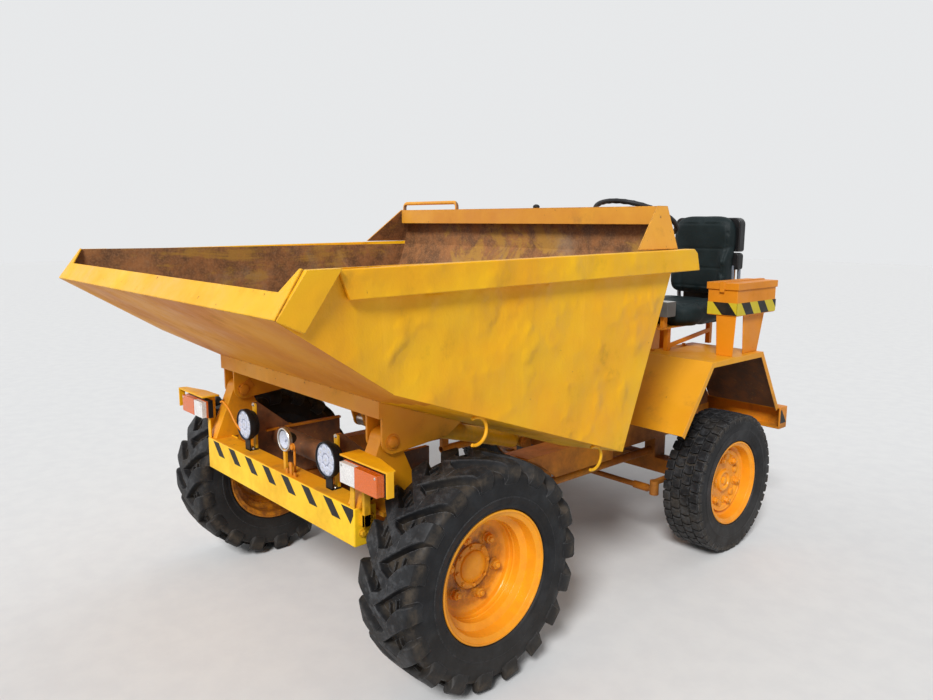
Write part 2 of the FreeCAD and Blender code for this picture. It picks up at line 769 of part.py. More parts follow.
def rear_tyre(side):
    half = rear_tyre_width / 2
    depth = rear_tyre_radius - rear_seat_radius
    body = bead(half, rear_seat_radius, rear_rim_radius)
    body += [(half, rear_seat_radius + depth * 0.6), (half * 0.8, rear_tyre_radius)]
    solid = faceted(both_halves(body), rear_tyre_facets, 0.5)
    solid.translate(V(side * rear_wheel_x, wheelbase, rear_tyre_radius))
    return solid


def rear_axle():
    """Box beam between the kingpin eyes, hung under the rails by a middle bracket."""
    z = rear_tyre_radius
    beam = block(-kingpin_x + 40, kingpin_x - 40, wheelbase - 40, wheelbase + 40, z - 36, z + 36)
    parts = [beam]
    for side in (-1, 1):
        for z0, z1 in ((z - 66, z - 40), (z + 40, z + 66)):
            eye = rod(34, V(side * kingpin_x, wheelbase, z0), V(side * kingpin_x, wheelbase, z1))
            link = block(side * (kingpin_x - 30) - 30, side * (kingpin_x - 30) + 30,
                         wheelbase - 30, wheelbase + 30, z0, z1)
            wall = block(side * (kingpin_x - 55) - 12, side * (kingpin_x - 55) + 12,
                         wheelbase - 40, wheelbase + 40, z - 66, z + 66)
            parts += [eye, link, wall]
        x = side * kingpin_x
        pin = rod(kingpin_radius, V(x, wheelbase, z - 72), V(x, wheelbase, z + 72))
        parts.append(pin)
        x = side * rail_x
        pad = block(x - 30, x + 30, wheelbase - 45, wheelbase + 45, z + 36, rail_bottom_z)
        parts.append(pad)
    return union(*parts)


def knuckle(side):
    """Kingpin sleeve with the stub axle and the forward steering arm."""
    z = rear_tyre_radius
    x = side * kingpin_x
    hub_x = rear_wheel_x + rear_dish - disc_thickness - run_gap
    sleeve = rod(30, V(x, wheelbase, z - 40 + run_gap), V(x, wheelbase, z + 40 - run_gap))
    stub = rod(stub_radius - 4, V(x, wheelbase, z), V(side * hub_x, wheelbase, z))
    flange = rod(rear_hub_radius - 6, V(side * (hub_x - 12), wheelbase, z), V(side * hub_x, wheelbase, z))
    eye_y = wheelbase - steer_arm_reach
    arm = block(x - 13, x + 13, eye_y, wheelbase - 20, z - 6, z + 12)
    eye = rod(steer_eye_radius, V(x, eye_y, z - 6), V(x, eye_y, z + 12))
    body = union(sleeve, stub, flange, arm, eye)
    bore = rod(kingpin_radius + fit_gap, V(x, wheelbase, z - 60), V(x, wheelbase, z + 60))
    return body.cut(bore)


def tie_rod():
    """Rod between the steering arms, with a ball joint cup under each arm."""
    y = wheelbase - steer_arm_reach
    z = rear_tyre_radius - 6
    top = z - run_gap
    cups = [rod(steer_eye_radius, V(x, y, top - 48), V(x, y, top)) for x in (-kingpin_x, kingpin_x)]
    bar = rod(tie_rod_radius, V(-kingpin_x, y, top - 26), V(kingpin_x, y, top - 26))
    sleeves = [rod(tie_rod_radius + 5, V(side * (kingpin_x - 110), y, top - 26),
                   V(side * (kingpin_x - 35), y, top - 26)) for side in (-1, 1)]
    return union(bar, *(cups + sleeves))


def axle_stays():
    """Long tubes from the side plates back to the rear axle."""
    z = stay_z
    x = rail_x
    hanger_rear = stay_front_y + 40
    solids = []
    for side in (-1, 1):
        front = V(side * x, stay_front_y, z)
        tube = ring(stay_radius, stay_radius - 5, front, V(side * x, wheelbase - 45, z))
        hang = block(side * x - 12, side * x + 12, stay_front_y, hanger_rear, z, rail_bottom_z)
        solids.append(union(tube, hang.cut(rod(stay_radius, front, V(side * x, hanger_rear, z)))))
    return solids


def ram_line():
    base = V(0, ram_base_y, ram_base_z)
    eye = V(0, ram_eye_y, ram_eye_z)
    return base, eye, (eye - base).normalize()


def ram_base_lugs():
    """Two lugs and a pin on the cross member that carry the cylinder's foot."""
    solids = []
    gap = ram_lug_gap / 2
    centre = V(0, ram_base_y, ram_base_z)
    for side in (-1, 1):
        low, high = sorted((side * gap, side * (gap + ear_plate)))
        web = block(low, high, ram_base_y, ram_base_y + 45, ram_base_z - 28, ram_base_z + 28)
        solids.append(union(web, round_lug(28, centre, low, high)))
    pin = round_lug(ram_pin_radius, centre, -gap - ear_plate - 6, gap + ear_plate + 6)
    return union(solids[0], solids[1], pin)


def tip_barrel():
    base, eye, step = ram_line()
    length = (eye - base).Length
    gap = ram_lug_gap / 2 - 6
    tube = rod(barrel_radius, base + step * 45, base + step * (length - 120))
    gland = rod(barrel_radius + 4, base + step * (length - 150), base + step * (length - 110))
    foot = round_lug(27, base, -gap, gap)
    neck = rod(22, base + step * 10, base + step * 60)
    body = union(tube, gland, foot, neck)
    body = body.cut(round_lug(ram_pin_radius + fit_gap, base, -gap - 5, gap + 5))
    bore = rod(piston_rod_radius + fit_gap, base + step * 80, base + step * length)
    return body.cut(bore)


def tip_rod():
    base, eye, step = ram_line()
    length = (eye - base).Length
    gap = ram_lug_gap / 2 - 6
    stem = rod(piston_rod_radius, base + step * 90, eye - step * 20)
    head = round_lug(27, eye, -gap, gap)
    body = union(stem, head)
    return body


def transmission():
    z = front_tyre_radius
    top = rail_bottom_z + rail_height
    return block(-gearbox_half_width, gearbox_half_width, ram_base_y + gearbox_gap, engine_front_y, z - 30, top)


def propshaft():
    z = front_tyre_radius
    start = diff_nose_start + diff_nose
    end = ram_base_y + gearbox_gap
    shaft = rod(24, V(0, start, z), V(0, end, z))
    cups = [rod(38, V(0, start, z), V(0, start + 55, z)), rod(38, V(0, end - 55, z), V(0, end, z))]
    return union(shaft, *cups)


def engine_block():
    x0 = bonnet_right_x + engine_side_gap
    x1 = bonnet_left_x - engine_side_gap / 2
    return block(x0, x1, engine_front_y, engine_rear_y, engine_bottom_z, bonnet_top_z - engine_top_gap)


def bonnet_sides():
    """Sheet housing round the engine, open below, with upright louvres on its outer side."""
    low = rail_bottom_z + rail_height
    top = bonnet_top_z - bonnet_lid_height
    outer = block(bonnet_right_x, bonnet_left_x, bonnet_front_y, bonnet_rear_y, low, top)
    inner = block(bonnet_right_x + sheet, bonnet_left_x - sheet, bonnet_front_y + sheet, bonnet_rear_y - sheet,
                  low - 1, top + 1)
    louvres = []
    for index in range(8):
        y = engine_front_y + louvre_pitch * index
        louvres.append(block(bonnet_right_x - louvre_rise, bonnet_right_x, y, y + louvre_pitch / 2,
                             top - 260, top - 60))
    for index in range(6):
        z = top - 70 - louvre_pitch * index
        louvres.append(block(bonnet_right_x + 60, bonnet_left_x - 60, bonnet_rear_y,
                             bonnet_rear_y + louvre_rise, z - louvre_pitch / 2, z))
    return union(outer.cut(inner), *louvres)


def bonnet_lid():
    low = bonnet_top_z - bonnet_lid_height + run_gap
    outer = block(bonnet_right_x, bonnet_left_x, bonnet_front_y, bonnet_rear_y, low, bonnet_top_z)
    inner = block(bonnet_right_x + sheet, bonnet_left_x - sheet, bonnet_front_y + sheet, bonnet_rear_y - sheet,
                  low - 1, bonnet_top_z - sheet)
    return outer.cut(inner)


def mudguard(side):
    """Bent plate over a rear wheel with a lip along its outer edge: front slope, flat top and rear slope."""
    path = [(guard_front_foot_y, guard_front_foot_z), (guard_front_top_y, guard_top_z),
            (guard_rear_top_y, guard_top_z), (rear_beam_front_y, guard_rear_foot_z)]
    bent = profile_yz(path + offset_path(path, sheet)[::-1], guard_inner_x, guard_outer_x)
    lip = profile_yz(path + offset_path(path, guard_lip)[::-1], guard_outer_x - sheet, guard_outer_x)
    body = union(bent, lip)
    return body if side > 0 else mirror(body)


def guard_inner_wall(side):
    """Upright plate that closes the wheel arch towards the rail."""
    low = rail_bottom_z + rail_height
    rear = rear_beam_front_y - 12
    front = guard_front_foot_y + 20
    roof = guard_top_z - sheet - 1
    outline = [(front, low + 60), (guard_front_top_y + 4, roof), (guard_rear_top_y - 4, roof), (rear, low + 46),
               (rear, low), (front, low)]
    wall = profile_yz(outline, guard_inner_x - sheet, guard_inner_x)
    return wall if side > 0 else mirror(wall)


def rear_beam():
    z0 = rear_beam_bottom_z
    z1 = z0 + rear_beam_height
    y0 = rear_beam_front_y
    y1 = y0 + rear_beam_depth
    fold = [(y0, z0), (y1, z0), (y1, z1), (y0, z1), (y0, z1 - steel), (y1 - steel, z1 - steel),
            (y1 - steel, z0 + steel), (y0, z0 + steel)]
    channel = profile_yz(fold, -rear_beam_half_width, rear_beam_half_width)
    end = block(rear_beam_half_width - steel, rear_beam_half_width, y0, y1, z0, z1)
    return union(channel, *pair(end))


def deck_plate():
    """Driver's floor from behind the skip to the rear beam, on the rails."""
    low = rail_bottom_z + rail_height
    rear = rear_beam_front_y - 20
    return block(bonnet_left_x + 5, guard_inner_x - sheet, deck_front_y, rear, low, low + sheet)


def seat_stand():
    """Shelf under the seat on two inner legs, with an outer post and a slanting brace on the mudguard."""
    x0 = seat_x - seat_width / 2 + 40
    x1 = seat_x + seat_width / 2 - 105
    y0 = cushion_front_y - 30
    y1 = cushion_front_y + cushion_depth - 30
    top = cushion_bottom_z - run_gap
    low = rail_bottom_z + rail_height + sheet
    under = top - steel
    shelf = block(x0, x1, y0, y1, under, top)
    legs = [block(x0, x0 + 35, y, y + 35, low, under) for y in (y0 + 50, y1 - 60)]
    legs += [block(x1 - 24, x1, y, y + 24, guard_top_z, under) for y in (y0, y1 - 60)]
    brace_low = guard_top_z + 14
    brace = profile_yz([(y0 + 24, brace_low), (y0 + 24, brace_low + 22), (y1 - 60, brace_low + 66),
                        (y1 - 60, brace_low + 44)], x1 - 6, x1)
    return union(shelf, brace, *legs)


def control_box():
    """Small box on a bracket in front of the seat's outer corner."""
    x = seat_x + seat_width / 2 - 100
    y = cushion_front_y - 70
    half = 35.0
    top = cushion_bottom_z - run_gap
    bracket = block(x - 20, x + 10, y - half, cushion_front_y - 30, top - steel, top)
    stem = block(x - 15, x + 5, y - 15, y + 15, top, top + 55)
    case = block(x - half, x + half, y - half, y + half, top + 55, top + 125)
    return union(bracket, stem, case)


def seat_cushion():
    x0 = seat_x - seat_width / 2
    body = block(x0, x0 + seat_width, cushion_front_y - 20, cushion_front_y + cushion_depth,
                 cushion_bottom_z, cushion_bottom_z + cushion_height)
    uprights = [e for e in body.Edges if abs(e.tangentAt(0).z) > 0.9]
    return body.makeFillet(45, uprights)


def seat_back():
    x0 = seat_x - backrest_width / 2
    z0 = cushion_bottom_z + cushion_height + run_gap
    half = backrest_thickness / 2
    body = block(x0, x0 + backrest_width, backrest_y - half, backrest_y + half, z0, z0 + backrest_height)
    level = [e for e in body.Edges if abs(e.tangentAt(0).y) > 0.9]
    return body.makeFillet(45, level)


def seat_bracket():
    """Bent flats that join the backrest to the cushion's frame."""
    y1 = backrest_y + backrest_thickness / 2 + run_gap
    z0 = cushion_bottom_z - 8
    solids = []
    for side in (-1, 1):
        x = seat_x + side * 120
        flat = block(x - 20, x + 20, y1, y1 + 8, z0 - run_gap, z0 + 330)
        foot = block(x - 20, x + 20, cushion_front_y + cushion_depth - 30, y1 + 8,
                     z0 - run_gap, z0 + 8 - run_gap)
        solids.append(union(flat, foot))
    return solids


def wheel_axis():
    tilt = math.radians(steering_wheel_tilt)
    return V(0, math.sin(tilt), math.cos(tilt))


def steering_column():
    axis = wheel_axis()
    top = V(seat_x, wheel_centre_y, wheel_centre_z) - axis * 30
    low_z = rail_bottom_z + rail_height + sheet
    foot = top - axis * ((top.z - low_z - 70) / axis.z)
    tube = ring(26, 16, foot, top)
    box = block(foot.x - 55, foot.x + 55, foot.y - 60, foot.y + 60, low_z, low_z + 110)
    return union(tube.cut(box), box)


def steering_wheel():
    axis = wheel_axis()
    centre = V(seat_x, wheel_centre_y, wheel_centre_z)
    rim = Part.makeTorus(steering_wheel_radius, steering_rim_radius, centre, axis)
    hub = rod(34, centre - axis * 26, centre + axis * 8)
    shaft = rod(15.9, centre - axis * 200, centre - axis * 20)
    parts = [rim, hub, shaft]
    side = across
    for angle in (90, 210, 330):
        turn = math.radians(angle)
        spoke_dir = side * math.cos(turn) + axis.cross(side) * math.sin(turn)
        parts.append(rod(8, centre + spoke_dir * 20 - axis * 4, centre + spoke_dir * steering_wheel_radius))
    return union(*parts)


def control_levers():
    """Tipping and gear levers beside the column, and a tall lever on the gearbox."""
    deck = rail_bottom_z + rail_height + sheet
    box = rail_bottom_z + rail_height
    solids = []
    for x, y, low, top, lean, radius in lever_table:
        base = box if low < 0 else deck
        foot = block(x - 22, x + 22, wheelbase + y - 15, wheelbase + y + 25, base, base + 16)
        knob_at = V(x, wheelbase + y + lean, top)
        stem = union(foot, rod(8, V(x, wheelbase + y, base + 10), knob_at))
        solids.append(union(stem, rod(radius, knob_at - up * radius * 0.8, knob_at + up * radius * 0.8)))
    return solids


def toolbox_stand():
    """Two tapered plates on the mudguard under the toolbox."""
    x0 = toolbox_inner_x + 4
    x1 = toolbox_outer_x - 4
    top = toolbox_bottom_z
    y0 = toolbox_front_y + 4
    front = [(x0 + 40, top), (x1, top), (x1 - 8, guard_top_z), (x0 + 50, guard_top_z)]
    front_leg = profile_xz(front, y0, y0 + sheet)
    side = [(y0, guard_top_z), (y0 + 30, guard_top_z), (y0 + 40, top), (y0, top)]
    flank = profile_yz(side, x0 + 50, x0 + 50 + sheet)
    rear_leg = profile_yz([(y0 + 120, guard_top_z), (guard_rear_top_y - 6, guard_top_z), (y0 + 300, top),
                           (y0 + 105, top)], x1 - 20 - sheet, x1 - 20)
    return [union(front_leg, flank), rear_leg]


def toolbox():
    top = toolbox_bottom_z + toolbox_height
    outer = block(toolbox_inner_x, toolbox_outer_x, toolbox_front_y, toolbox_front_y + toolbox_length,
                  toolbox_bottom_z, top)
    inner = block(toolbox_inner_x + sheet, toolbox_outer_x - sheet, toolbox_front_y + sheet,
                  toolbox_front_y + toolbox_length - sheet, toolbox_bottom_z + sheet, top + 1)
    return outer.cut(inner)


def toolbox_lid():
    """Shallow lid with a strap across it that hangs down in front as a hasp."""
    low = toolbox_bottom_z + toolbox_height + run_gap
    overlap = 6.0
    strap_x = (toolbox_inner_x + toolbox_outer_x) / 2
    front = toolbox_front_y - overlap
    rear = toolbox_front_y + toolbox_length + overlap
    top = low + toolbox_lid_height
    lid = block(toolbox_inner_x - overlap, toolbox_outer_x + overlap, front, rear, low, top)
    strap = block(strap_x - 12, strap_x + 12, front - sheet, rear, top, top + sheet)
    hasp = block(strap_x - 12, strap_x + 12, front - sheet, front, low - 12, top)
    return union(lid, strap, hasp)


def tail_lamps():
    solids = []
    rear = rear_beam_front_y + rear_beam_depth - 25
    z = rear_beam_bottom_z + rear_beam_height
    outer = rear_beam_half_width - 70
    lamp = block(outer - tail_lamp_width, outer, rear - 35, rear, z, z + tail_lamp_height)
    solids += pair(lamp)
    return solids


save("skip_tub", skip_tub())
save("skip_lip", skip_lip())
save("skip_side_rims", *skip_side_rims())
save("skip_rear_rim", *skip_rear_rim(), grab_handle())
save("skip_clevises", skip_clevises(), *skip_ram_lugs())
save("skip_hooks", *skip_hooks())
save("pivot_pins", *pivot_pins())
save("chassis_frame", chassis_frame(), ram_base_lugs(), *axle_stays())
save("pivot_brackets", *pivot_brackets())
save("front_bumper", front_bumper())
save("cross_tube", cross_tube())
save("front_lamps", head_lamp(), *work_lamps())
save("signal_lamps", *signal_lamps())
save("signal_guards", *signal_guards())
save("front_axle", front_axle())
for name, side in (("left", 1), ("right", -1)):
    save("front_rim_" + name, front_rim(side))
    save("front_tyre_" + name, front_tyre(side))
    save("rear_rim_" + name, rear_rim(side))
    save("rear_tyre_" + name, rear_tyre(side))
    save("knuckle_" + name, knuckle(side))
    save("mudguard_" + name, mudguard(side), guard_inner_wall(side))
save("rear_axle", rear_axle())
save("tie_rod", tie_rod())
save("tip_barrel", tip_barrel())
save("tip_rod", tip_rod())
save("transmission", transmission())
save("propshaft", propshaft())
save("engine_block", engine_block())
save("bonnet_sides", bonnet_sides())
save("bonnet_lid", bonnet_lid())
save("rear_beam", rear_beam())
save("deck_plate", deck_plate())
save("seat_stand", seat_stand(), control_box(), *seat_bracket())
save("seat_cushion", seat_cushion())
save("seat_back", seat_back())
save("steering_column", steering_column())
save("steering_wheel", steering_wheel())
save("control_levers", *control_levers())
save("toolbox", toolbox(), *toolbox_stand())
save("toolbox_lid", toolbox_lid())
save("tail_lamps", *tail_lamps())
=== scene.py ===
import math

import bmesh
import bpy
from bpy.props import FloatProperty, FloatVectorProperty, IntProperty, PointerProperty
from bpy.types import Operator, Panel, PropertyGroup
from mathutils import Matrix, Vector, noise


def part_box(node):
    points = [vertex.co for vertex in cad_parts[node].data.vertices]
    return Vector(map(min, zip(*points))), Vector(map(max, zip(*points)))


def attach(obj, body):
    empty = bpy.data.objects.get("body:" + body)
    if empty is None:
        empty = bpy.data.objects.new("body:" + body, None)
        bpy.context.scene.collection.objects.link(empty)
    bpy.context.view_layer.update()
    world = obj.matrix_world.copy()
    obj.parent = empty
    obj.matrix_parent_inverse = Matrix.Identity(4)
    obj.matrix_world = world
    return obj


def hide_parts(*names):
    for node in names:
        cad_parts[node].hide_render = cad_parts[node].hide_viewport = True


bl_info = {
    "name": "Site dumper dressing",
    "version": (1, 0, 0),
    "blender": (4, 5, 0),
    "location": "View3D > Sidebar > Dumper",
    "description": "Paint, tyres, lamps, seat and small fittings of a site dumper",
    "category": "Object",
}

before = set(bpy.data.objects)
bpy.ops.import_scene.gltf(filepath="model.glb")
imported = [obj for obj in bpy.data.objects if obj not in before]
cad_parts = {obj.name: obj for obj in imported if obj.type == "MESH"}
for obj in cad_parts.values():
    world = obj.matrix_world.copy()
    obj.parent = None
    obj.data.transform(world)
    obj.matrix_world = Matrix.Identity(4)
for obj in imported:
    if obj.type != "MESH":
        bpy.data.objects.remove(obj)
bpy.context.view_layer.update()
SLOT_OF = {name: node.material_slots[0].name.split(".")[0] for name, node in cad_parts.items()}


# Places

def box(node):
    low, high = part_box(node)
    return Vector(low), Vector(high)


def middle(node):
    low, high = box(node)
    return (low + high) / 2


AXLE_Y = middle("front_tyre_left").y


def at(x, y, z):
    """Point from metres across, behind the front axle and above the ground."""
    return Vector((x, y + AXLE_Y, z))


# Making pieces

def link_piece(name, mesh, body, stands_for=()):
    piece = bpy.data.objects.new(name, mesh)
    bpy.context.scene.collection.objects.link(piece)
    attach(piece, body)
    if stands_for:
        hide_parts(*stands_for)
    return piece


def mesh_from(bm, name, finishes, smooth=None):
    mesh = bpy.data.meshes.new(name)
    bm.normal_update()
    bm.to_mesh(mesh)
    bm.free()
    for finish in finishes:
        mesh.materials.append(finish)
    if smooth is not None:
        mesh.shade_smooth()
        mesh.set_sharp_from_angle(angle=math.radians(smooth))
    return mesh


def piece_from(bm, name, finishes, body, stands_for=(), smooth=35):
    return link_piece(name, mesh_from(bm, name, finishes, smooth), body, stands_for)


def merged_copy(node):
    """Working copy of a CAD node's mesh, with its flat faces joined again."""
    bm = bmesh.new()
    bm.from_mesh(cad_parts[node].data)
    bmesh.ops.remove_doubles(bm, verts=bm.verts, dist=0.00002)
    bmesh.ops.dissolve_limit(bm, angle_limit=math.radians(0.6), verts=bm.verts, edges=bm.edges)
    return bm


def round_edges(piece, width, segments=2, angle=28):
    bevel = piece.modifiers.new("rounded edges", "BEVEL")
    bevel.width = width
    bevel.segments = segments
    bevel.limit_method = "ANGLE"
    bevel.angle_limit = math.radians(angle)
    bevel.harden_normals = False
    return bevel


def add_block(bm, low, high, material=0):
    low, high = Vector(low), Vector(high)
    made = bmesh.ops.create_cube(bm, size=1.0)["verts"]
    for vert in made:
        vert.co = Vector(((low[i] + high[i]) / 2 + vert.co[i] * (high[i] - low[i]) for i in range(3)))
    for face in {f for v in made for f in v.link_faces}:
        face.material_index = material
    return made


def frame_of(axis):
    axis = axis.normalized()
    side = axis.orthogonal().normalized()
    return side, axis.cross(side), axis


def add_turned(bm, profile, centre, axis, segments=48, material=0, start=None):
    """Surface turned about an axis from (distance along it, radius) points; ends with radius 0 close it."""
    if start is None:
        side, other, axis = frame_of(axis)
    else:
        axis = axis.normalized()
        side = start.normalized()
        other = axis.cross(side)
    rings = []
    for along, radius in profile:
        if radius < 1e-6:
            rings.append([bm.verts.new(centre + axis * along)])
            continue
        loop = []
        for k in range(segments):
            a = 2 * math.pi * k / segments
            loop.append(bm.verts.new(centre + axis * along + (side * math.cos(a) + other * math.sin(a)) * radius))
        rings.append(loop)
    for first, second in zip(rings[:-1], rings[1:]):
        for k in range(segments):
            k1 = (k + 1) % segments
            if len(first) == 1 and len(second) == 1:
                continue
            if len(first) == 1:
                corners = (first[0], second[k1], second[k])
            elif len(second) == 1:
                corners = (first[k], first[k1], second[0])
            else:
                corners = (first[k], first[k1], second[k1], second[k])
            face = bm.faces.new(corners)
            face.material_index = material
    return rings


def add_hex_bolt(bm, centre, axis, across_flats, height, washer=0.0, material=0):
    """Hexagon head with a chamfered top on a washer."""
    radius = across_flats / math.sqrt(3)
    if washer:
        add_turned(bm, [(0.0, 0.0), (0.0, washer), (height * 0.2, washer), (height * 0.2, 0.0)],
                   centre, axis, 20, material)
    add_turned(bm, [(0.0, 0.0), (0.0, radius), (height * 0.86, radius), (height, radius * 0.8), (height, 0.0)],
               centre, axis, 6, material)


def ring_tree(name, finish):
    """Node group that sets copies of a mesh evenly round an axle through the object's origin."""
    tree = bpy.data.node_groups.new(name, "GeometryNodeTree")
    face = tree.interface
    face.new_socket("Geometry", in_out="INPUT", socket_type="NodeSocketGeometry")
    face.new_socket("Geometry", in_out="OUTPUT", socket_type="NodeSocketGeometry")
    count = face.new_socket("Copies", in_out="INPUT", socket_type="NodeSocketInt")
    turn = face.new_socket("First angle", in_out="INPUT", socket_type="NodeSocketFloat")
    entry = tree.nodes.new("NodeGroupInput")
    leave = tree.nodes.new("NodeGroupOutput")
    points = tree.nodes.new("GeometryNodePoints")
    index = tree.nodes.new("GeometryNodeInputIndex")
    share = tree.nodes.new("ShaderNodeMath")
    share.operation = "DIVIDE"
    angle = tree.nodes.new("ShaderNodeMath")
    angle.operation = "MULTIPLY_ADD"
    angle.inputs[1].default_value = 2 * math.pi
    spin = tree.nodes.new("ShaderNodeCombineXYZ")
    copies = tree.nodes.new("GeometryNodeInstanceOnPoints")
    real = tree.nodes.new("GeometryNodeRealizeInstances")
    coat = tree.nodes.new("GeometryNodeSetMaterial")
    coat.inputs["Material"].default_value = finish
    links = tree.links
    links.new(entry.outputs[1], points.inputs["Count"])
    links.new(index.outputs[0], share.inputs[0])
    links.new(entry.outputs[1], share.inputs[1])
    links.new(share.outputs[0], angle.inputs[0])
    links.new(entry.outputs[2], angle.inputs[2])
    links.new(angle.outputs[0], spin.inputs[0])
    links.new(points.outputs[0], copies.inputs["Points"])
    links.new(entry.outputs[0], copies.inputs["Instance"])
    links.new(spin.outputs[0], copies.inputs["Rotation"])
    links.new(copies.outputs[0], real.inputs[0])
    links.new(real.outputs[0], coat.inputs[0])
    links.new(coat.outputs[0], leave.inputs[0])
    return tree, count.identifier, turn.identifier


def ring_of(bm, name, copies, first_angle, finish, centre, smooth=35):
    """Plain mesh of copies round an axle along x; bm holds one copy, measured from the axle."""
    seed = mesh_from(bm, name + "_one", [finish], smooth)
    holder = bpy.data.objects.new(name + "_ring", seed)
    bpy.context.scene.collection.objects.link(holder)
    tree, count_id, turn_id = ring_tree(name + "_tree", finish)
    step = holder.modifiers.new("ring", "NODES")
    step.node_group = tree
    step[count_id] = copies
    step[turn_id] = first_angle
    depsgraph = bpy.context.evaluated_depsgraph_get()
    mesh = bpy.data.meshes.new_from_object(holder.evaluated_get(depsgraph))
    mesh.name = name
    bpy.data.objects.remove(holder)
    mesh.transform(Matrix.Translation(centre))
    if not mesh.materials:
        mesh.materials.append(finish)
    return mesh


def joined(meshes, name):
    """One mesh from several, with their finishes kept."""
    bm = bmesh.new()
    finishes = []
    for mesh in meshes:
        start = len(bm.faces)
        bm.from_mesh(mesh)
        bm.faces.ensure_lookup_table()
        table = []
        for finish in mesh.materials:
            if finish not in finishes:
                finishes.append(finish)
            table.append(finishes.index(finish))
        for face in bm.faces[start:]:
            face.material_index = table[face.material_index] if table else 0
    mesh = bpy.data.meshes.new(name)
    bm.to_mesh(mesh)
    bm.free()
    for finish in finishes:
        mesh.materials.append(finish)
    return mesh


def mark(mesh, name, rule):
    """Point attribute that a finish reads, from a rule on each point's place."""
    spots = mesh.attributes.new(name, "FLOAT", "POINT")
    for vert in mesh.vertices:
        spots.data[vert.index].value = rule(vert.co)


def ease(value, low, high):
    share = max(0.0, min(1.0, (value - low) / (high - low)))
    return share * share * (3 - 2 * share)


# Finishes

class Coat:
    """Builds one finish from procedural textures in object space."""

    def __init__(self, name):
        self.material = bpy.data.materials.new(name)
        self.material.use_nodes = True
        self.tree = self.material.node_tree
        self.tree.nodes.clear()
        self.shader = self.tree.nodes.new("ShaderNodeBsdfPrincipled")
        out = self.tree.nodes.new("ShaderNodeOutputMaterial")
        self.tree.links.new(self.shader.outputs[0], out.inputs["Surface"])
        self.place = self.add("TexCoord").outputs["Object"]

    def add(self, kind, inputs=None, **settings):
        node = self.tree.nodes.new("ShaderNode" + kind)
        for key, value in settings.items():
            setattr(node, key, value)
        for key, value in (inputs or {}).items():
            self.feed(node.inputs[key], value)
        return node

    def feed(self, socket, value):
        if isinstance(value, bpy.types.NodeSocket):
            self.tree.links.new(value, socket)
        elif socket.type == "RGBA" and len(value) == 3:
            socket.default_value = (*value, 1.0)
        else:
            socket.default_value = value

    def stretched(self, scale, turn=(0, 0, 0)):
        return self.add("Mapping", {"Vector": self.place, "Scale": scale, "Rotation": turn}).outputs[0]

    def noise(self, scale, detail=4.0, rough=0.55, vector=None, bend=0.0):
        node = self.add("TexNoise", {"Vector": vector or self.place, "Scale": scale, "Detail": detail,
                                     "Roughness": rough, "Distortion": bend})
        return node.outputs["Fac"]

    def cells(self, scale, feature="F1", vector=None):
        return self.add("TexVoronoi", {"Vector": vector or self.place, "Scale": scale},
                        feature=feature).outputs["Distance"]

    def spread(self, value, low, high, first=0.0, last=1.0):
        node = self.add("MapRange", {"Value": value, "From Min": low, "From Max": high,
                                     "To Min": first, "To Max": last}, interpolation_type="SMOOTHSTEP")
        return node.outputs[0]

    def math(self, operation, a, b=0.0):
        return self.add("Math", {0: a, 1: b}, operation=operation, use_clamp=False).outputs[0]

    def mix(self, share, a, b, kind="MIX"):
        node = self.add("Mix", data_type="RGBA", blend_type=kind)
        self.feed(node.inputs["Factor"], share)
        self.feed(node.inputs[6], a)
        self.feed(node.inputs[7], b)
        return node.outputs[2]

    def height(self):
        return self.add("SeparateXYZ", {"Vector": self.place}).outputs["Z"]

    def marked(self, name):
        return self.add("Attribute", attribute_name=name).outputs["Fac"]

    def upness(self):
        normal = self.add("NewGeometry").outputs["Normal"]
        return self.add("SeparateXYZ", {"Vector": normal}).outputs["Z"]

    def bump(self, value, depth, strength=1.0, normal=None):
        inputs = {"Height": value, "Distance": depth, "Strength": strength}
        if normal is not None:
            inputs["Normal"] = normal
        return self.add("Bump", inputs).outputs[0]

    def soft_corner(self, radius):
        return self.add("Bevel", {"Radius": radius}, samples=4).outputs[0]

    def edge_share(self, radius, low=0.02, high=0.22):
        """Share from 0 on flats to 1 along edges."""
        soft = self.soft_corner(radius)
        flat = self.add("NewGeometry").outputs["Normal"]
        meet = self.add("VectorMath", {0: soft, 1: flat}, operation="DOT_PRODUCT").outputs["Value"]
        return self.spread(self.math("SUBTRACT", 1.0, meet), low, high)

    def finish(self, **inputs):
        for key, value in inputs.items():
            self.feed(self.shader.inputs[key.replace("_", " ")], value)
        return self.material


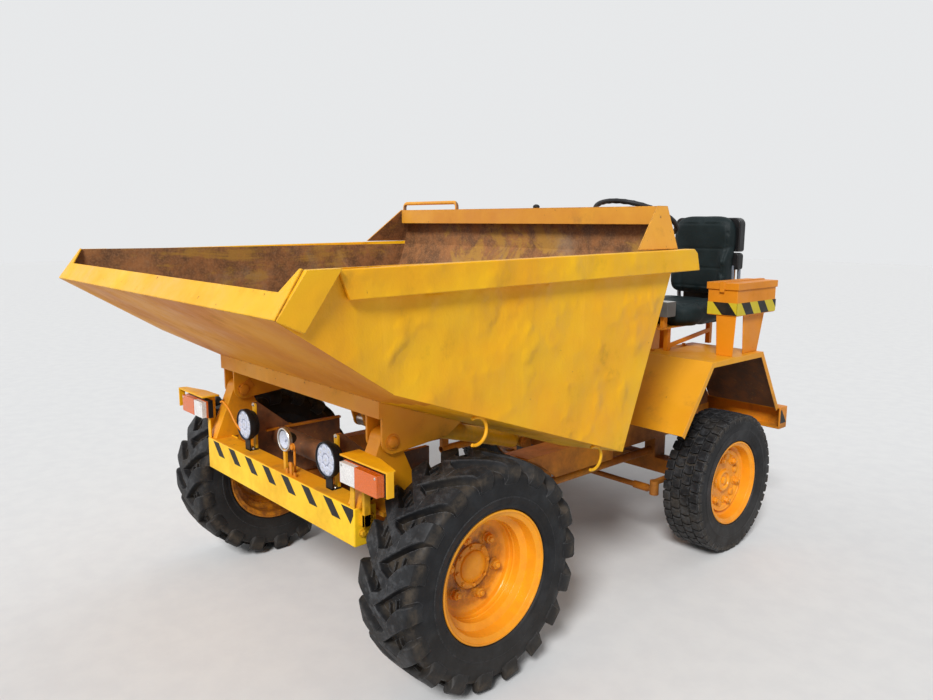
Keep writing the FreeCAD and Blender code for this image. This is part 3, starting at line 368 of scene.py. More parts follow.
def brushed_paint(name, colour, deep, dirt, wear=0.5, rust=(0.16, 0.06, 0.02), gloss=0.34, lumps=0.0, corner=0.002,
                  marks=""):
    """Hand brushed enamel over old steel: streaks, grime, chips down to rust and worn edges."""
    coat = Coat(name)
    cloud = coat.noise(2.2, 5.0, 0.6)
    strokes = coat.noise(9.0, 6.0, 0.62, coat.stretched((1.0, 1.0, 0.12)), 0.4)
    fine = coat.noise(150.0, 3.0, 0.5)
    tint = coat.mix(coat.spread(cloud, 0.35, 0.68), colour, deep)
    tint = coat.mix(coat.spread(strokes, 0.56, 0.74, 0.0, 0.35), tint, [min(1.0, c * 1.18 + 0.015) for c in colour])
    grime = coat.noise(5.5, 8.0, 0.7)
    low = coat.spread(coat.height(), 0.95, 0.35, 0.0, 0.22)
    grime_share = coat.spread(coat.math("ADD", grime, low), 0.56, 0.86, 0.0, 0.62)
    tint = coat.mix(grime_share, tint, dirt)
    chips = coat.noise(34.0, 6.0, 0.72)
    patches = coat.noise(3.4, 4.0, 0.6)
    edges = coat.edge_share(0.006)
    chance = coat.math("ADD", coat.math("MULTIPLY", edges, 0.17 * wear), coat.math("MULTIPLY", patches, 0.10))
    chip_share = coat.spread(coat.math("ADD", chips, chance), 0.775 - 0.05 * wear, 0.80 - 0.05 * wear)
    tint = coat.mix(coat.math("MULTIPLY", chip_share, 0.85), tint, rust)
    # A marked attribute darkens the paint: on the wheels this is grime and partly painted shade round the hub and nuts.
    if marks:
        stain = coat.math("MULTIPLY", coat.marked(marks), coat.spread(coat.noise(24.0, 5.0, 0.7), 0.34, 0.62, 0.25, 1.0))
        tint = coat.mix(stain, tint, (0.24, 0.080, 0.018))
    rough = coat.spread(grime, 0.3, 0.8, gloss, gloss + 0.34)
    rough = coat.math("ADD", rough, coat.math("MULTIPLY", chip_share, 0.3))
    normal = coat.soft_corner(corner)
    if lumps:
        normal = coat.bump(coat.noise(5.0, 1.5, 0.45), 0.040 * lumps, 1.0, normal)
        knocks = coat.spread(coat.noise(10.0, 1.6, 0.45), 0.50, 0.86)
        normal = coat.bump(knocks, 0.0075 * lumps, 1.0, normal)
        normal = coat.bump(coat.noise(55.0, 3.0, 0.55), 0.0030 * lumps, 0.5, normal)
    else:
        normal = coat.bump(coat.noise(3.2, 3.0, 0.5), 0.02, 0.10, normal)
    normal = coat.bump(strokes, 0.0016, 0.45, normal)
    normal = coat.bump(coat.math("SUBTRACT", fine, chip_share), 0.0008, 0.35, normal)
    return coat.finish(Base_Color=tint, Roughness=rough, Normal=normal, Specular_IOR_Level=0.30)


def rusty_load_steel(name, remains):
    """Inside of the skip: rust and scuffs over the last of the paint."""
    coat = Coat(name)
    broad = coat.noise(2.6, 8.0, 0.68)
    middle_size = coat.noise(11.0, 8.0, 0.72)
    scrape = coat.noise(7.0, 7.0, 0.7, coat.stretched((1.0, 0.16, 1.0)), 0.8)
    grain = coat.noise(120.0, 4.0, 0.6)
    tint = coat.mix(coat.spread(middle_size, 0.35, 0.68), (0.125, 0.055, 0.022), (0.36, 0.145, 0.045))
    tint = coat.mix(coat.spread(grain, 0.42, 0.72, 0.0, 0.5), tint, (0.40, 0.20, 0.085))
    kept = coat.math("ADD", coat.math("MULTIPLY", broad, 0.6), coat.math("MULTIPLY", scrape, 0.5))
    high = coat.spread(coat.height(), 1.0, 1.5, -0.02, 0.07)
    kept = coat.spread(coat.math("ADD", kept, high), 0.60, 0.68)
    tint = coat.mix(coat.math("MULTIPLY", kept, 0.72), tint, remains)
    dust = coat.spread(coat.noise(5.0, 6.0, 0.65), 0.52, 0.78, 0.0, 0.5)
    tint = coat.mix(dust, tint, (0.34, 0.25, 0.16))
    normal = coat.bump(coat.noise(4.5, 4.0, 0.5), 0.02, 0.4)
    normal = coat.bump(middle_size, 0.004, 0.6, normal)
    normal = coat.bump(grain, 0.0012, 0.6, normal)
    return coat.finish(Base_Color=tint, Roughness=coat.spread(middle_size, 0.3, 0.7, 0.62, 0.92), Normal=normal)


def worn_brown_steel(name, corner=0.002):
    """Old brown paint with rust and the odd overspray of yellow."""
    coat = Coat(name)
    blot = coat.noise(7.0, 7.0, 0.68)
    fleck = coat.noise(42.0, 5.0, 0.7)
    tint = coat.mix(coat.spread(blot, 0.36, 0.66), (0.085, 0.036, 0.016), (0.25, 0.095, 0.032))
    tint = coat.mix(coat.spread(fleck, 0.60, 0.74, 0.0, 0.75), tint, (0.42, 0.20, 0.045))
    tint = coat.mix(coat.spread(coat.noise(3.0, 5.0, 0.6), 0.56, 0.72, 0.0, 0.55), tint, (0.50, 0.25, 0.03))
    normal = coat.bump(fleck, 0.0016, 0.6, coat.soft_corner(corner))
    return coat.finish(Base_Color=tint, Roughness=coat.spread(blot, 0.3, 0.7, 0.5, 0.85), Normal=normal)


def tyre_rubber(name, dust=(0.075, 0.062, 0.048), dust_share=0.42):
    coat = Coat(name)
    cloud = coat.noise(6.0, 7.0, 0.66)
    grit = coat.noise(85.0, 5.0, 0.7)
    tint = coat.mix(coat.spread(coat.noise(14.0, 5.0, 0.6), 0.4, 0.7), (0.006, 0.006, 0.007), (0.015, 0.016, 0.018))
    tread = coat.math("MAXIMUM", coat.marked("groove"), coat.marked("crown"))
    share = coat.spread(coat.math("ADD", coat.math("MULTIPLY", cloud, 0.7), coat.math("MULTIPLY", grit, 0.3)),
                        0.47, 0.66, 0.0, dust_share)
    share = coat.math("MULTIPLY", share, coat.spread(tread, 0.0, 1.0, 0.30, 1.0))
    low = coat.spread(coat.height(), 0.42, 0.05, 0.0, 0.16)
    tint = coat.mix(coat.math("ADD", share, low), tint, dust)
    mud = coat.math("MULTIPLY", coat.marked("groove"), coat.spread(coat.noise(19.0, 6.0, 0.7), 0.40, 0.66, 0.05, 0.80))
    tint = coat.mix(mud, tint, (0.070, 0.054, 0.038))
    # Lug tops lighter and bluish grey: partly wear, partly painted sheen.
    worn = coat.math("MULTIPLY", coat.marked("crown"), coat.spread(coat.noise(30.0, 6.0, 0.72), 0.46, 0.66, 0.0, 0.6))
    tint = coat.mix(worn, tint, (0.060, 0.062, 0.066))
    scuffed = coat.math("MULTIPLY", coat.edge_share(0.004), coat.spread(grit, 0.40, 0.60, 0.05, 0.85))
    tint = coat.mix(scuffed, tint, (0.105, 0.105, 0.108))
    normal = coat.bump(cloud, 0.004, 0.25, coat.soft_corner(0.0012))
    normal = coat.bump(grit, 0.0010, 0.5, normal)
    return coat.finish(Base_Color=tint, Roughness=coat.spread(cloud, 0.35, 0.65, 0.50, 0.78), Normal=normal,
                       Specular_IOR_Level=0.26)


def moulded_plastic(name, colour, grain=160.0, gloss=0.42):
    coat = Coat(name)
    cloud = coat.noise(9.0, 5.0, 0.6)
    leather = coat.cells(grain)
    tint = coat.mix(coat.spread(cloud, 0.4, 0.75, 0.0, 0.5), colour, [c * 1.7 + 0.006 for c in colour])
    normal = coat.bump(leather, 0.0006, 0.35, coat.soft_corner(0.0015))
    return coat.finish(Base_Color=tint, Roughness=coat.spread(cloud, 0.3, 0.7, gloss, gloss + 0.25), Normal=normal,
                       Specular_IOR_Level=0.30)


def seat_vinyl(name, colour):
    """Grained vinyl, dusty in its folds, glossier in some patches than others."""
    coat = Coat(name)
    grain = coat.cells(210.0)
    crease = coat.noise(26.0, 6.0, 0.65, None, 0.6)
    cloud = coat.noise(5.0, 5.0, 0.6)
    tint = coat.mix(coat.spread(cloud, 0.38, 0.7), colour, [c * 1.8 + 0.003 for c in colour])
    tint = coat.mix(coat.spread(crease, 0.60, 0.8, 0.0, 0.2), tint, (0.07, 0.07, 0.06))
    normal = coat.bump(crease, 0.0022, 0.35)
    normal = coat.bump(grain, 0.0006, 0.5, normal)
    return coat.finish(Base_Color=tint, Roughness=coat.spread(cloud, 0.3, 0.7, 0.46, 0.66), Normal=normal,
                       Specular_IOR_Level=0.16)


def plain_metal(name, colour, rough=0.28, dull=0.25, metal=1.0, stain=(0.20, 0.10, 0.05), stain_share=0.35):
    coat = Coat(name)
    cloud = coat.noise(24.0, 6.0, 0.66)
    lines = coat.noise(60.0, 3.0, 0.5, coat.stretched((1.0, 6.0, 1.0)))
    tint = coat.mix(coat.spread(cloud, 0.54, 0.78, 0.0, stain_share), colour, stain)
    normal = coat.bump(lines, 0.0004, 0.35, coat.soft_corner(0.001))
    return coat.finish(Base_Color=tint, Roughness=coat.spread(cloud, 0.3, 0.75, rough, rough + dull), Metallic=metal,
                       Normal=normal)


def cast_iron(name, colour):
    coat = Coat(name)
    skin = coat.noise(90.0, 5.0, 0.7)
    oil = coat.noise(6.0, 6.0, 0.65)
    tint = coat.mix(coat.spread(oil, 0.42, 0.68, 0.0, 0.8), colour, (0.030, 0.026, 0.022))
    normal = coat.bump(skin, 0.0016, 0.6, coat.soft_corner(0.003))
    return coat.finish(Base_Color=tint, Roughness=coat.spread(oil, 0.35, 0.7, 0.66, 0.34), Normal=normal, Metallic=0.35)


def lamp_glass(name, colour, ribs=0.0, clear=0.55, pattern=260.0, shine=0.8):
    """Lens with moulded flutes over a bright bowl."""
    coat = Coat(name)
    flutes = coat.cells(pattern)
    cloud = coat.noise(12.0, 4.0, 0.6)
    tint = coat.mix(coat.spread(flutes, 0.1, 0.75), colour, [c * clear for c in colour])
    tint = coat.mix(coat.spread(cloud, 0.5, 0.8, 0.0, 0.35), tint, (0.30, 0.26, 0.20))
    normal = coat.bump(flutes, 0.0012, 0.6 + ribs)
    return coat.finish(Base_Color=tint, Roughness=coat.spread(cloud, 0.4, 0.8, 0.10, 0.30), Normal=normal,
                       Specular_IOR_Level=0.4, Coat_Weight=shine, Coat_Roughness=0.06)


def band_film(name, colour):
    """Adhesive film, scuffed and dusty, over brushed paint."""
    coat = Coat(name)
    cloud = coat.noise(16.0, 6.0, 0.66)
    scuff = coat.noise(55.0, 5.0, 0.7, coat.stretched((1.0, 1.0, 4.0)))
    tint = coat.mix(coat.spread(cloud, 0.50, 0.76, 0.0, 0.12), colour, (0.20, 0.14, 0.06))
    tint = coat.mix(coat.spread(scuff, 0.68, 0.76, 0.0, 0.30), tint, (0.46, 0.30, 0.05))
    normal = coat.bump(cloud, 0.0012, 0.4)
    return coat.finish(Base_Color=tint, Roughness=coat.spread(cloud, 0.3, 0.7, 0.42, 0.64), Normal=normal,
                       Specular_IOR_Level=0.28)


FINISH = {}


# Sizes and colours that a user would change

class DumperPaint(PropertyGroup):
    yellow: FloatVectorProperty(name="Body yellow", description="Brushed enamel of the skip and the body",
                                subtype="COLOR", size=3, default=(0.80, 0.43, 0.006), min=0.0, max=1.0)
    yellow_deep: FloatVectorProperty(name="Body yellow, deep", description="Thicker and older coats of the enamel",
                                     subtype="COLOR", size=3, default=(0.78, 0.35, 0.005), min=0.0, max=1.0)
    orange: FloatVectorProperty(name="Frame orange", description="Earlier orange coat on the frame and the ramp",
                                subtype="COLOR", size=3, default=(0.72, 0.25, 0.008), min=0.0, max=1.0)
    rim: FloatVectorProperty(name="Wheel orange", description="Glossy enamel of the wheels",
                             subtype="COLOR", size=3, default=(0.88, 0.33, 0.012), min=0.0, max=1.0)
    vinyl: FloatVectorProperty(name="Seat vinyl", description="Cover of the seat and backrest",
                               subtype="COLOR", size=3, default=(0.005, 0.010, 0.011), min=0.0, max=1.0)


class DumperStage(PropertyGroup):
    lens: FloatProperty(name="Lens", description="Focal length on a 36 mm wide sensor", unit="CAMERA",
                        default=29.57, min=10.0, max=200.0)
    azimuth: FloatProperty(name="Azimuth", description="Direction of view round the machine", subtype="ANGLE",
                           default=math.radians(48.153))
    pitch: FloatProperty(name="Pitch", description="Angle of view below the horizon", subtype="ANGLE",
                         default=math.radians(9.406))
    roll: FloatProperty(name="Roll", description="Turn of the camera about its line of sight", subtype="ANGLE",
                        default=math.radians(0.235))
    floor_size: FloatProperty(name="Floor", description="Length of the square floor", unit="LENGTH",
                              default=60.0, min=10.0)


class DUMPER_OT_finishes(Operator):
    """Mix every finish and coat the nodes that keep their CAD shape"""
    bl_idname = "dumper.finishes"
    bl_label = "Finishes"

    def execute(self, context):
        paint = context.scene.dumper_paint
        grime = (0.20, 0.105, 0.028)
        FINISH["yellow_paint"] = brushed_paint("body yellow enamel", paint.yellow, paint.yellow_deep, grime, lumps=0.8)
        FINISH["lip_paint"] = brushed_paint("worn lip enamel", paint.yellow, (0.78, 0.37, 0.008),
                                            (0.30, 0.13, 0.03), 1.6, (0.20, 0.075, 0.025), lumps=0.3)
        FINISH["guard_paint"] = brushed_paint("mudguard enamel", (0.70, 0.315, 0.010), (0.66, 0.25, 0.008),
                                              (0.15, 0.07, 0.02), 0.7, gloss=0.36, lumps=0.15)
        FINISH["bumper_top"] = brushed_paint("bumper top enamel", (0.78, 0.36, 0.010), (0.68, 0.25, 0.008),
                                             (0.22, 0.10, 0.025), 1.2)
        FINISH["orange_paint"] = brushed_paint("frame orange enamel", paint.orange, (0.60, 0.20, 0.008),
                                               (0.13, 0.062, 0.022), 0.9, gloss=0.40)
        # The wheels' grime mark darkens them with grime and with painted shade round the hub and nuts.
        FINISH["rim_orange"] = brushed_paint("wheel orange enamel", paint.rim, (0.90, 0.37, 0.014),
                                             (0.66, 0.22, 0.012), 0.05, gloss=0.18, marks="grime")
        FINISH["load_steel"] = rusty_load_steel("rusty load steel", (0.46, 0.24, 0.035))
        FINISH["worn_brown"] = worn_brown_steel("worn brown steel")
        # Darker paint for the skip's down-facing front faces: painted shade.
        FINISH["ramp_paint"] = brushed_paint("ramp shade enamel", (0.70, 0.29, 0.010), (0.56, 0.185, 0.010),
                                             (0.17, 0.075, 0.022), 0.9, gloss=0.45)
        FINISH["rim_paint"] = brushed_paint("top rim enamel", (0.74, 0.34, 0.030), (0.62, 0.24, 0.030),
                                            (0.24, 0.11, 0.045), 1.3, (0.20, 0.085, 0.035))
        FINISH["ear_paint"] = brushed_paint("ear enamel", (0.78, 0.34, 0.008), (0.68, 0.24, 0.008),
                                            (0.17, 0.075, 0.022), 0.8, gloss=0.36)
        FINISH["bumper_paint"] = brushed_paint("bumper enamel", (0.92, 0.57, 0.012), (0.90, 0.50, 0.010),
                                               (0.60, 0.32, 0.02), 0.3)
        FINISH["box_grey"] = moulded_plastic("grey control box", (0.10, 0.10, 0.095), 90.0)
        FINISH["box_top"] = moulded_plastic("pale control box top", (0.42, 0.42, 0.40), 90.0)
        FINISH["frame_paint"] = brushed_paint("lower frame enamel", (0.66, 0.235, 0.010), (0.42, 0.12, 0.010),
                                              (0.095, 0.045, 0.020), 1.0, gloss=0.45)
        FINISH["tyre_black"] = tyre_rubber("dusty tyre rubber")
        FINISH["lamp_black"] = moulded_plastic("black lamp shell", (0.006, 0.006, 0.007))
        FINISH["wheel_plastic"] = moulded_plastic("steering wheel plastic", (0.006, 0.006, 0.007), 220.0, 0.38)
        FINISH["seat_vinyl"] = seat_vinyl("dark seat vinyl", paint.vinyl)
        FINISH["bright_steel"] = plain_metal("bright steel", (0.62, 0.60, 0.56))
        FINISH["cast_grey"] = cast_iron("oily cast iron", (0.10, 0.10, 0.095))
        FINISH["signal_amber"] = lamp_glass("amber signal lens", (0.68, 0.128, 0.006), 0.0, 0.84, 240.0, 0.30)
        FINISH["clear_lens"] = lamp_glass("clear signal lens", (0.78, 0.76, 0.74), clear=0.82, pattern=210.0)
        FINISH["tail_red"] = lamp_glass("red tail lens", (0.55, 0.012, 0.008), shine=0.25)
        FINISH["lamp_lens"] = lamp_glass("pale lamp reflectors", (0.33, 0.36, 0.46), clear=0.8, pattern=420.0, shine=0.5)
        FINISH["lamp_bowl"] = lamp_glass("lamp bowls", (0.62, 0.66, 0.79), clear=0.75, pattern=330.0, shine=0.5)
        FINISH["dark_steel"] = plain_metal("dark steel", (0.10, 0.105, 0.11), 0.38, 0.25, 0.85)
        FINISH["strut_steel"] = plain_metal("blued steel", (0.20, 0.23, 0.28), 0.38, 0.25, 0.7)
        FINISH["band_black"] = band_film("dark band film", (0.010, 0.009, 0.008))
        FINISH["band_yellow"] = band_film("yellow band film", (0.56, 0.44, 0.022))
        for name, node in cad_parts.items():
            for slot in node.material_slots:
                slot.material = FINISH[SLOT_OF[name]]
        return {"FINISHED"}


class DUMPER_OT_stage(Operator):
    """Set the floor, the light and the camera"""
    bl_idname = "dumper.stage"
    bl_label = "Stage"

    def execute(self, context):
        stage = context.scene.dumper_stage
        scene = context.scene
        scene.view_settings.view_transform = "Standard"
        bm = bmesh.new()
        bmesh.ops.create_grid(bm, x_segments=1, y_segments=1, size=stage.floor_size / 2)
        coat = Coat("pale floor")
        spots = coat.noise(9.0, 5.0, 0.6)
        tint = coat.mix(coat.spread(spots, 0.3, 0.7), (0.67, 0.67, 0.67), (0.70, 0.70, 0.695))
        coat.finish(Base_Color=tint, Roughness=0.9, Specular_IOR_Level=0.1)
        floor = bpy.data.objects.new("floor", mesh_from(bm, "floor", [coat.material]))
        scene.collection.objects.link(floor)
        world = bpy.data.worlds.new("soft room")
        world.use_nodes = True
        tree = world.node_tree
        tree.nodes.clear()
        path = tree.nodes.new("ShaderNodeLightPath")
        seen = tree.nodes.new("ShaderNodeMath")
        seen.operation = "MAXIMUM"
        also = tree.nodes.new("ShaderNodeMath")
        also.operation = "MAXIMUM"
        tree.links.new(path.outputs["Is Camera Ray"], seen.inputs[0])
        tree.links.new(path.outputs["Is Glossy Ray"], seen.inputs[1])
        tree.links.new(seen.outputs[0], also.inputs[0])
        tree.links.new(path.outputs["Is Transmission Ray"], also.inputs[1])
        light = tree.nodes.new("ShaderNodeBackground")
        light.inputs[0].default_value = (0.93, 0.96, 1.0, 1.0)
        light.inputs[1].default_value = 0.34
        view = tree.nodes.new("ShaderNodeBackground")
        view.inputs[0].default_value = (0.80, 0.81, 0.82, 1.0)
        view.inputs[1].default_value = 1.0
        blend = tree.nodes.new("ShaderNodeMixShader")
        out = tree.nodes.new("ShaderNodeOutputWorld")
        tree.links.new(also.outputs[0], blend.inputs[0])
        tree.links.new(light.outputs[0], blend.inputs[1])
        tree.links.new(view.outputs[0], blend.inputs[2])
        tree.links.new(blend.outputs[0], out.inputs[0])
        scene.world = world
        for name, strength, spread, towards in (
                ("key light", 3.1, 16.0, (-0.40, 0.66, -0.62)),
                ("fill light", 0.60, 60.0, (0.70, 0.55, -0.45)),
                ("back light", 0.5, 50.0, (0.1, -0.8, -0.9))):
            lamp = bpy.data.lights.new(name, "SUN")
            lamp.energy = strength
            lamp.angle = math.radians(spread)
            holder = bpy.data.objects.new(name, lamp)
            holder.rotation_euler = Vector(towards).to_track_quat("-Z", "Y").to_euler()
            scene.collection.objects.link(holder)
        eye = bpy.data.cameras.new("view")
        eye.lens = stage.lens
        eye.sensor_width = 36.0
        eye.sensor_fit = "HORIZONTAL"
        camera = bpy.data.objects.new("view", eye)
        az, pitch, roll = stage.azimuth, stage.pitch, stage.roll
        ahead = Vector((-math.sin(az) * math.cos(pitch), math.cos(az) * math.cos(pitch), -math.sin(pitch)))
        right = Vector((math.cos(az), math.sin(az), 0.0))
        top = right.cross(ahead)
        right, top = (right * math.cos(roll) + top * math.sin(roll), top * math.cos(roll) - right * math.sin(roll))
        turn = Matrix((right, top, -ahead)).transposed()
        camera.matrix_world = Matrix.Translation(at(2.4963, -1.6165, 1.5124)) @ turn.to_4x4()
        scene.collection.objects.link(camera)
        scene.camera = camera
        return {"FINISHED"}


class DumperTyres(PropertyGroup):
    lugs: IntProperty(name="Lugs a side", description="Number of lugs on each half of a front tyre", default=18, min=6)
    lug_radius: FloatProperty(name="Front tyre radius", description="Radius over the lugs", unit="LENGTH",
                              default=0.3863, min=0.1)
    front_half: FloatProperty(name="Front tyre half width", description="Half the width over the lugs",
                              unit="LENGTH", default=0.132, min=0.05)
    blocks: IntProperty(name="Tread blocks", description="Pitches of the rear tyre's block tread", default=42, min=10)
    rear_radius: FloatProperty(name="Rear tyre radius", description="Radius over the tread blocks", unit="LENGTH",
                               default=0.325, min=0.1)
    front_nuts: IntProperty(name="Front wheel nuts", description="Nuts that hold a front wheel", default=6, min=3)
    rear_nuts: IntProperty(name="Rear wheel nuts", description="Nuts that hold a rear wheel", default=6, min=3)
    nut_circle: FloatProperty(name="Front nut circle", description="Radius of the ring of front wheel nuts",
                              unit="LENGTH", default=0.106, min=0.02)
    rear_nut_circle: FloatProperty(name="Rear nut circle", description="Radius of the ring of rear wheel nuts",
                                   unit="LENGTH", default=0.108, min=0.02)


# Across, radius of the foot; across, radius of the top; leading and trailing edge ahead of the lug's middle
LUG_STATIONS = (
    (-0.040, 0.3525, -0.038, 0.3863, 0.026, -0.030),
    (-0.020, 0.3530, -0.020, 0.3865, 0.010, -0.036),
    (0.000, 0.3535, 0.000, 0.3865, -0.007, -0.043),
    (0.020, 0.3535, 0.020, 0.3865, -0.024, -0.062),
    (0.045, 0.3530, 0.045, 0.3863, -0.045, -0.108),
    (0.070, 0.3520, 0.070, 0.3857, -0.066, -0.138),
    (0.093, 0.3480, 0.094, 0.3840, -0.085, -0.160),
    (0.106, 0.3440, 0.110, 0.3808, -0.097, -0.167),
    (0.114, 0.3380, 0.123, 0.3730, -0.104, -0.172),
    (0.118, 0.3300, 0.130, 0.3600, -0.108, -0.174),
    (0.120, 0.3230, 0.1318, 0.3450, -0.109, -0.173),
    (0.121, 0.3160, 0.1312, 0.3310, -0.107, -0.168),
    (0.121, 0.3090, 0.1275, 0.3160, -0.104, -0.162),
)

# Across, radius of the casing from the bead at the wheel's flange to the crown
FRONT_CASING = (
    (0.0975, 0.2080), (0.1010, 0.2262), (0.1130, 0.2270), (0.1175, 0.2300), (0.1190, 0.2350), (0.1180, 0.2400),
    (0.1195, 0.2430), (0.1225, 0.2500), (0.1250, 0.2600), (0.1272, 0.2650), (0.1275, 0.2680), (0.1258, 0.2700),
    (0.1268, 0.2850), (0.1262, 0.3000), (0.1235, 0.3150), (0.1200, 0.3270), (0.1160, 0.3370), (0.1090, 0.3450),
    (0.0950, 0.3500), (0.0700, 0.3530), (0.0350, 0.3545), (0.0, 0.3548),
)
REAR_CASING = (
    (0.0645, 0.1810), (0.0682, 0.1985), (0.0790, 0.1990), (0.0840, 0.2020), (0.0850, 0.2060), (0.0842, 0.2090),
    (0.0880, 0.2180), (0.0912, 0.2350), (0.0932, 0.2500), (0.0938, 0.2530), (0.0925, 0.2550), (0.0932, 0.2680),
    (0.0925, 0.2850), (0.0900, 0.2980), (0.0850, 0.3060), (0.0700, 0.3110), (0.0350, 0.3128), (0.0, 0.3130),
)


def casing_mesh(name, profile, centre, finish):
    bm = bmesh.new()
    outline = list(profile) + [(-x, r) for x, r in reversed(profile[:-1])]
    outline.append(outline[0])
    rings = add_turned(bm, outline, centre, Vector((1, 0, 0)), 128)
    bmesh.ops.remove_doubles(bm, verts=[v for ring in (rings[0], rings[-1]) for v in ring], dist=0.00001)
    bmesh.ops.recalc_face_normals(bm, faces=bm.faces)
    return mesh_from(bm, name, [finish], 40)


def on_tread(x, r, ahead, tyre_radius):
    turn = ahead / tyre_radius
    return Vector((x, -r * math.sin(turn), r * math.cos(turn)))


def add_lug(bm, side, shift, tyre_radius):
    """One lug of the V pattern, from its nose at the crown over the shoulder to the sidewall."""
    rings = []
    for foot_x, foot_r, top_x, top_r, lead, trail in LUG_STATIONS:
        spots = ((foot_x, foot_r, lead + 0.005), (foot_x * 0.3 + top_x * 0.7, foot_r * 0.3 + top_r * 0.7, lead + 0.001),
                 (foot_x * 0.08 + top_x * 0.92, foot_r * 0.08 + top_r * 0.92, lead - 0.0006),
                 (top_x, top_r, lead - 0.004), (top_x, top_r, trail + 0.004),
                 (foot_x * 0.08 + top_x * 0.92, foot_r * 0.08 + top_r * 0.92, trail + 0.0006),
                 (foot_x * 0.3 + top_x * 0.7, foot_r * 0.3 + top_r * 0.7, trail - 0.001), (foot_x, foot_r, trail - 0.005))
        rings.append([bm.verts.new(on_tread(side * x, r, ahead + shift, tyre_radius)) for x, r, ahead in spots])
    count = len(rings[0])
    for first, second in zip(rings[:-1], rings[1:]):
        for k in range(count):
            k1 = (k + 1) % count
            bm.faces.new((first[k], first[k1], second[k1], second[k]))
    bm.faces.new(rings[0])
    bm.faces.new(list(reversed(rings[-1])))
    for low, high, width in ((-0.104, -0.150, 0.003), (-0.132, -0.172, 0.003)):
        x = 0.034 if low > -0.11 else 0.064
        corners = []
        for r in (0.352, 0.366):
            for dx, ahead in ((-width, low), (width, low), (width, high), (-width, high)):
                corners.append(bm.verts.new(on_tread(side * (x + dx), r, ahead + shift, tyre_radius)))
        for quad in ((0, 1, 2, 3), (4, 5, 6, 7), (0, 1, 5, 4), (1, 2, 6, 5), (2, 3, 7, 6), (3, 0, 4, 7)):
            bm.faces.new([corners[k] for k in quad])


def add_tread_block(bm, side, outline, low, high, bevel, tyre_radius, shift=0.0):
    centre_x = sum(p[0] for p in outline) / len(outline)
    centre_s = sum(p[1] for p in outline) / len(outline)
    rings = []
    for r, inset in ((low, -0.0015), (high - bevel, 0.0), (high, bevel)):
        loop = []
        for x, s in outline:
            reach = max(1e-6, math.hypot(x - centre_x, s - centre_s))
            share = 1 - inset / reach
            loop.append(bm.verts.new(on_tread(side * (centre_x + (x - centre_x) * share), r,
                                              centre_s + (s - centre_s) * share + shift, tyre_radius)))
        rings.append(loop)
    count = len(outline)
    for first, second in zip(rings[:-1], rings[1:]):
        for k in range(count):
            bm.faces.new((first[k], first[(k + 1) % count], second[(k + 1) % count], second[k]))
    bm.faces.new(rings[0])
    bm.faces.new(rings[-1])


class DUMPER_OT_front_tyres(Operator):
    """Make the lugged front tyres"""
    bl_idname = "dumper.front_tyres"
    bl_label = "Front tyres"

    def execute(self, context):
        sizes = context.scene.dumper_tyres
        pitch = 2 * math.pi * sizes.lug_radius / sizes.lugs
        middle_of_lug = -0.074
        for name, side in (("left", 1), ("right", -1)):
            centre = middle("front_tyre_" + name)
            bm = bmesh.new()
            add_lug(bm, side, -middle_of_lug, sizes.lug_radius)
            add_lug(bm, -side, -middle_of_lug - pitch / 2, sizes.lug_radius)
            bmesh.ops.recalc_face_normals(bm, faces=bm.faces)
            lugs = ring_of(bm, "front_lugs_" + name, sizes.lugs, 0.0, FINISH["tyre_black"], centre, 22)
            casing = casing_mesh("front_casing_" + name, FRONT_CASING, centre, FINISH["tyre_black"])
            whole = joined([casing, lugs], "front_tyre_rubber_" + name)

            def radius_at(point):
                return math.hypot(point.y - centre.y, point.z - centre.z)

            mark(whole, "groove", lambda p: ease(radius_at(p), 0.374, 0.355) * ease(radius_at(p), 0.325, 0.345))
            mark(whole, "crown", lambda p: ease(radius_at(p), 0.376, 0.384))
            link_piece("front_tyre_rubber_" + name, whole, "front_wheel_" + name,
                       ["front_tyre_" + name])
        return {"FINISHED"}


class DUMPER_OT_rear_tyres(Operator):
    """Make the rear tyres with their block tread"""
    bl_idname = "dumper.rear_tyres"
    bl_label = "Rear tyres"

    def execute(self, context):
        sizes = context.scene.dumper_tyres
        radius = sizes.rear_radius
        pitch = 2 * math.pi * radius / sizes.blocks
        inner = [(0.004, -0.40), (0.024, -0.30), (0.043, -0.42), (0.043, 0.34), (0.024, 0.46), (0.004, 0.36)]
        outer = [(0.050, -0.40), (0.058, -0.46), (0.084, -0.40), (0.0875, -0.30), (0.0875, 0.30), (0.084, 0.40),
                 (0.058, 0.40), (0.050, 0.34)]
        flank = [(0.0860, -0.34), (0.0915, -0.34), (0.0915, 0.34), (0.0860, 0.34)]
        for name, side in (("left", 1), ("right", -1)):
            centre = middle("rear_tyre_" + name)
            bm = bmesh.new()
            for half, shift in ((1, 0.0), (-1, pitch / 2)):
                for outline, low, high, move in ((inner, 0.311, radius, 0.0), (outer, 0.304, radius - 0.0015, 0.5),
                                                 (flank, 0.290, radius - 0.010, 0.5)):
                    spots = [(x, s * pitch) for x, s in outline]
                    add_tread_block(bm, half, spots, low, high, 0.0016, radius, shift + move * pitch)
            bmesh.ops.recalc_face_normals(bm, faces=bm.faces)
            blocks = ring_of(bm, "rear_blocks_" + name, sizes.blocks, 0.0, FINISH["tyre_black"], centre, 32)
            casing = casing_mesh("rear_casing_" + name, REAR_CASING, centre, FINISH["tyre_black"])
            whole = joined([casing, blocks], "rear_tyre_rubber_" + name)

            def radius_at(point):
                return math.hypot(point.y - centre.y, point.z - centre.z)

            mark(whole, "groove", lambda p: ease(radius_at(p), 0.319, 0.312) * ease(radius_at(p), 0.300, 0.309))
            mark(whole, "crown", lambda p: ease(radius_at(p), 0.318, 0.323))
            link_piece("rear_tyre_rubber_" + name, whole, "rear_wheel_" + name, ["rear_tyre_" + name])
        return {"FINISHED"}


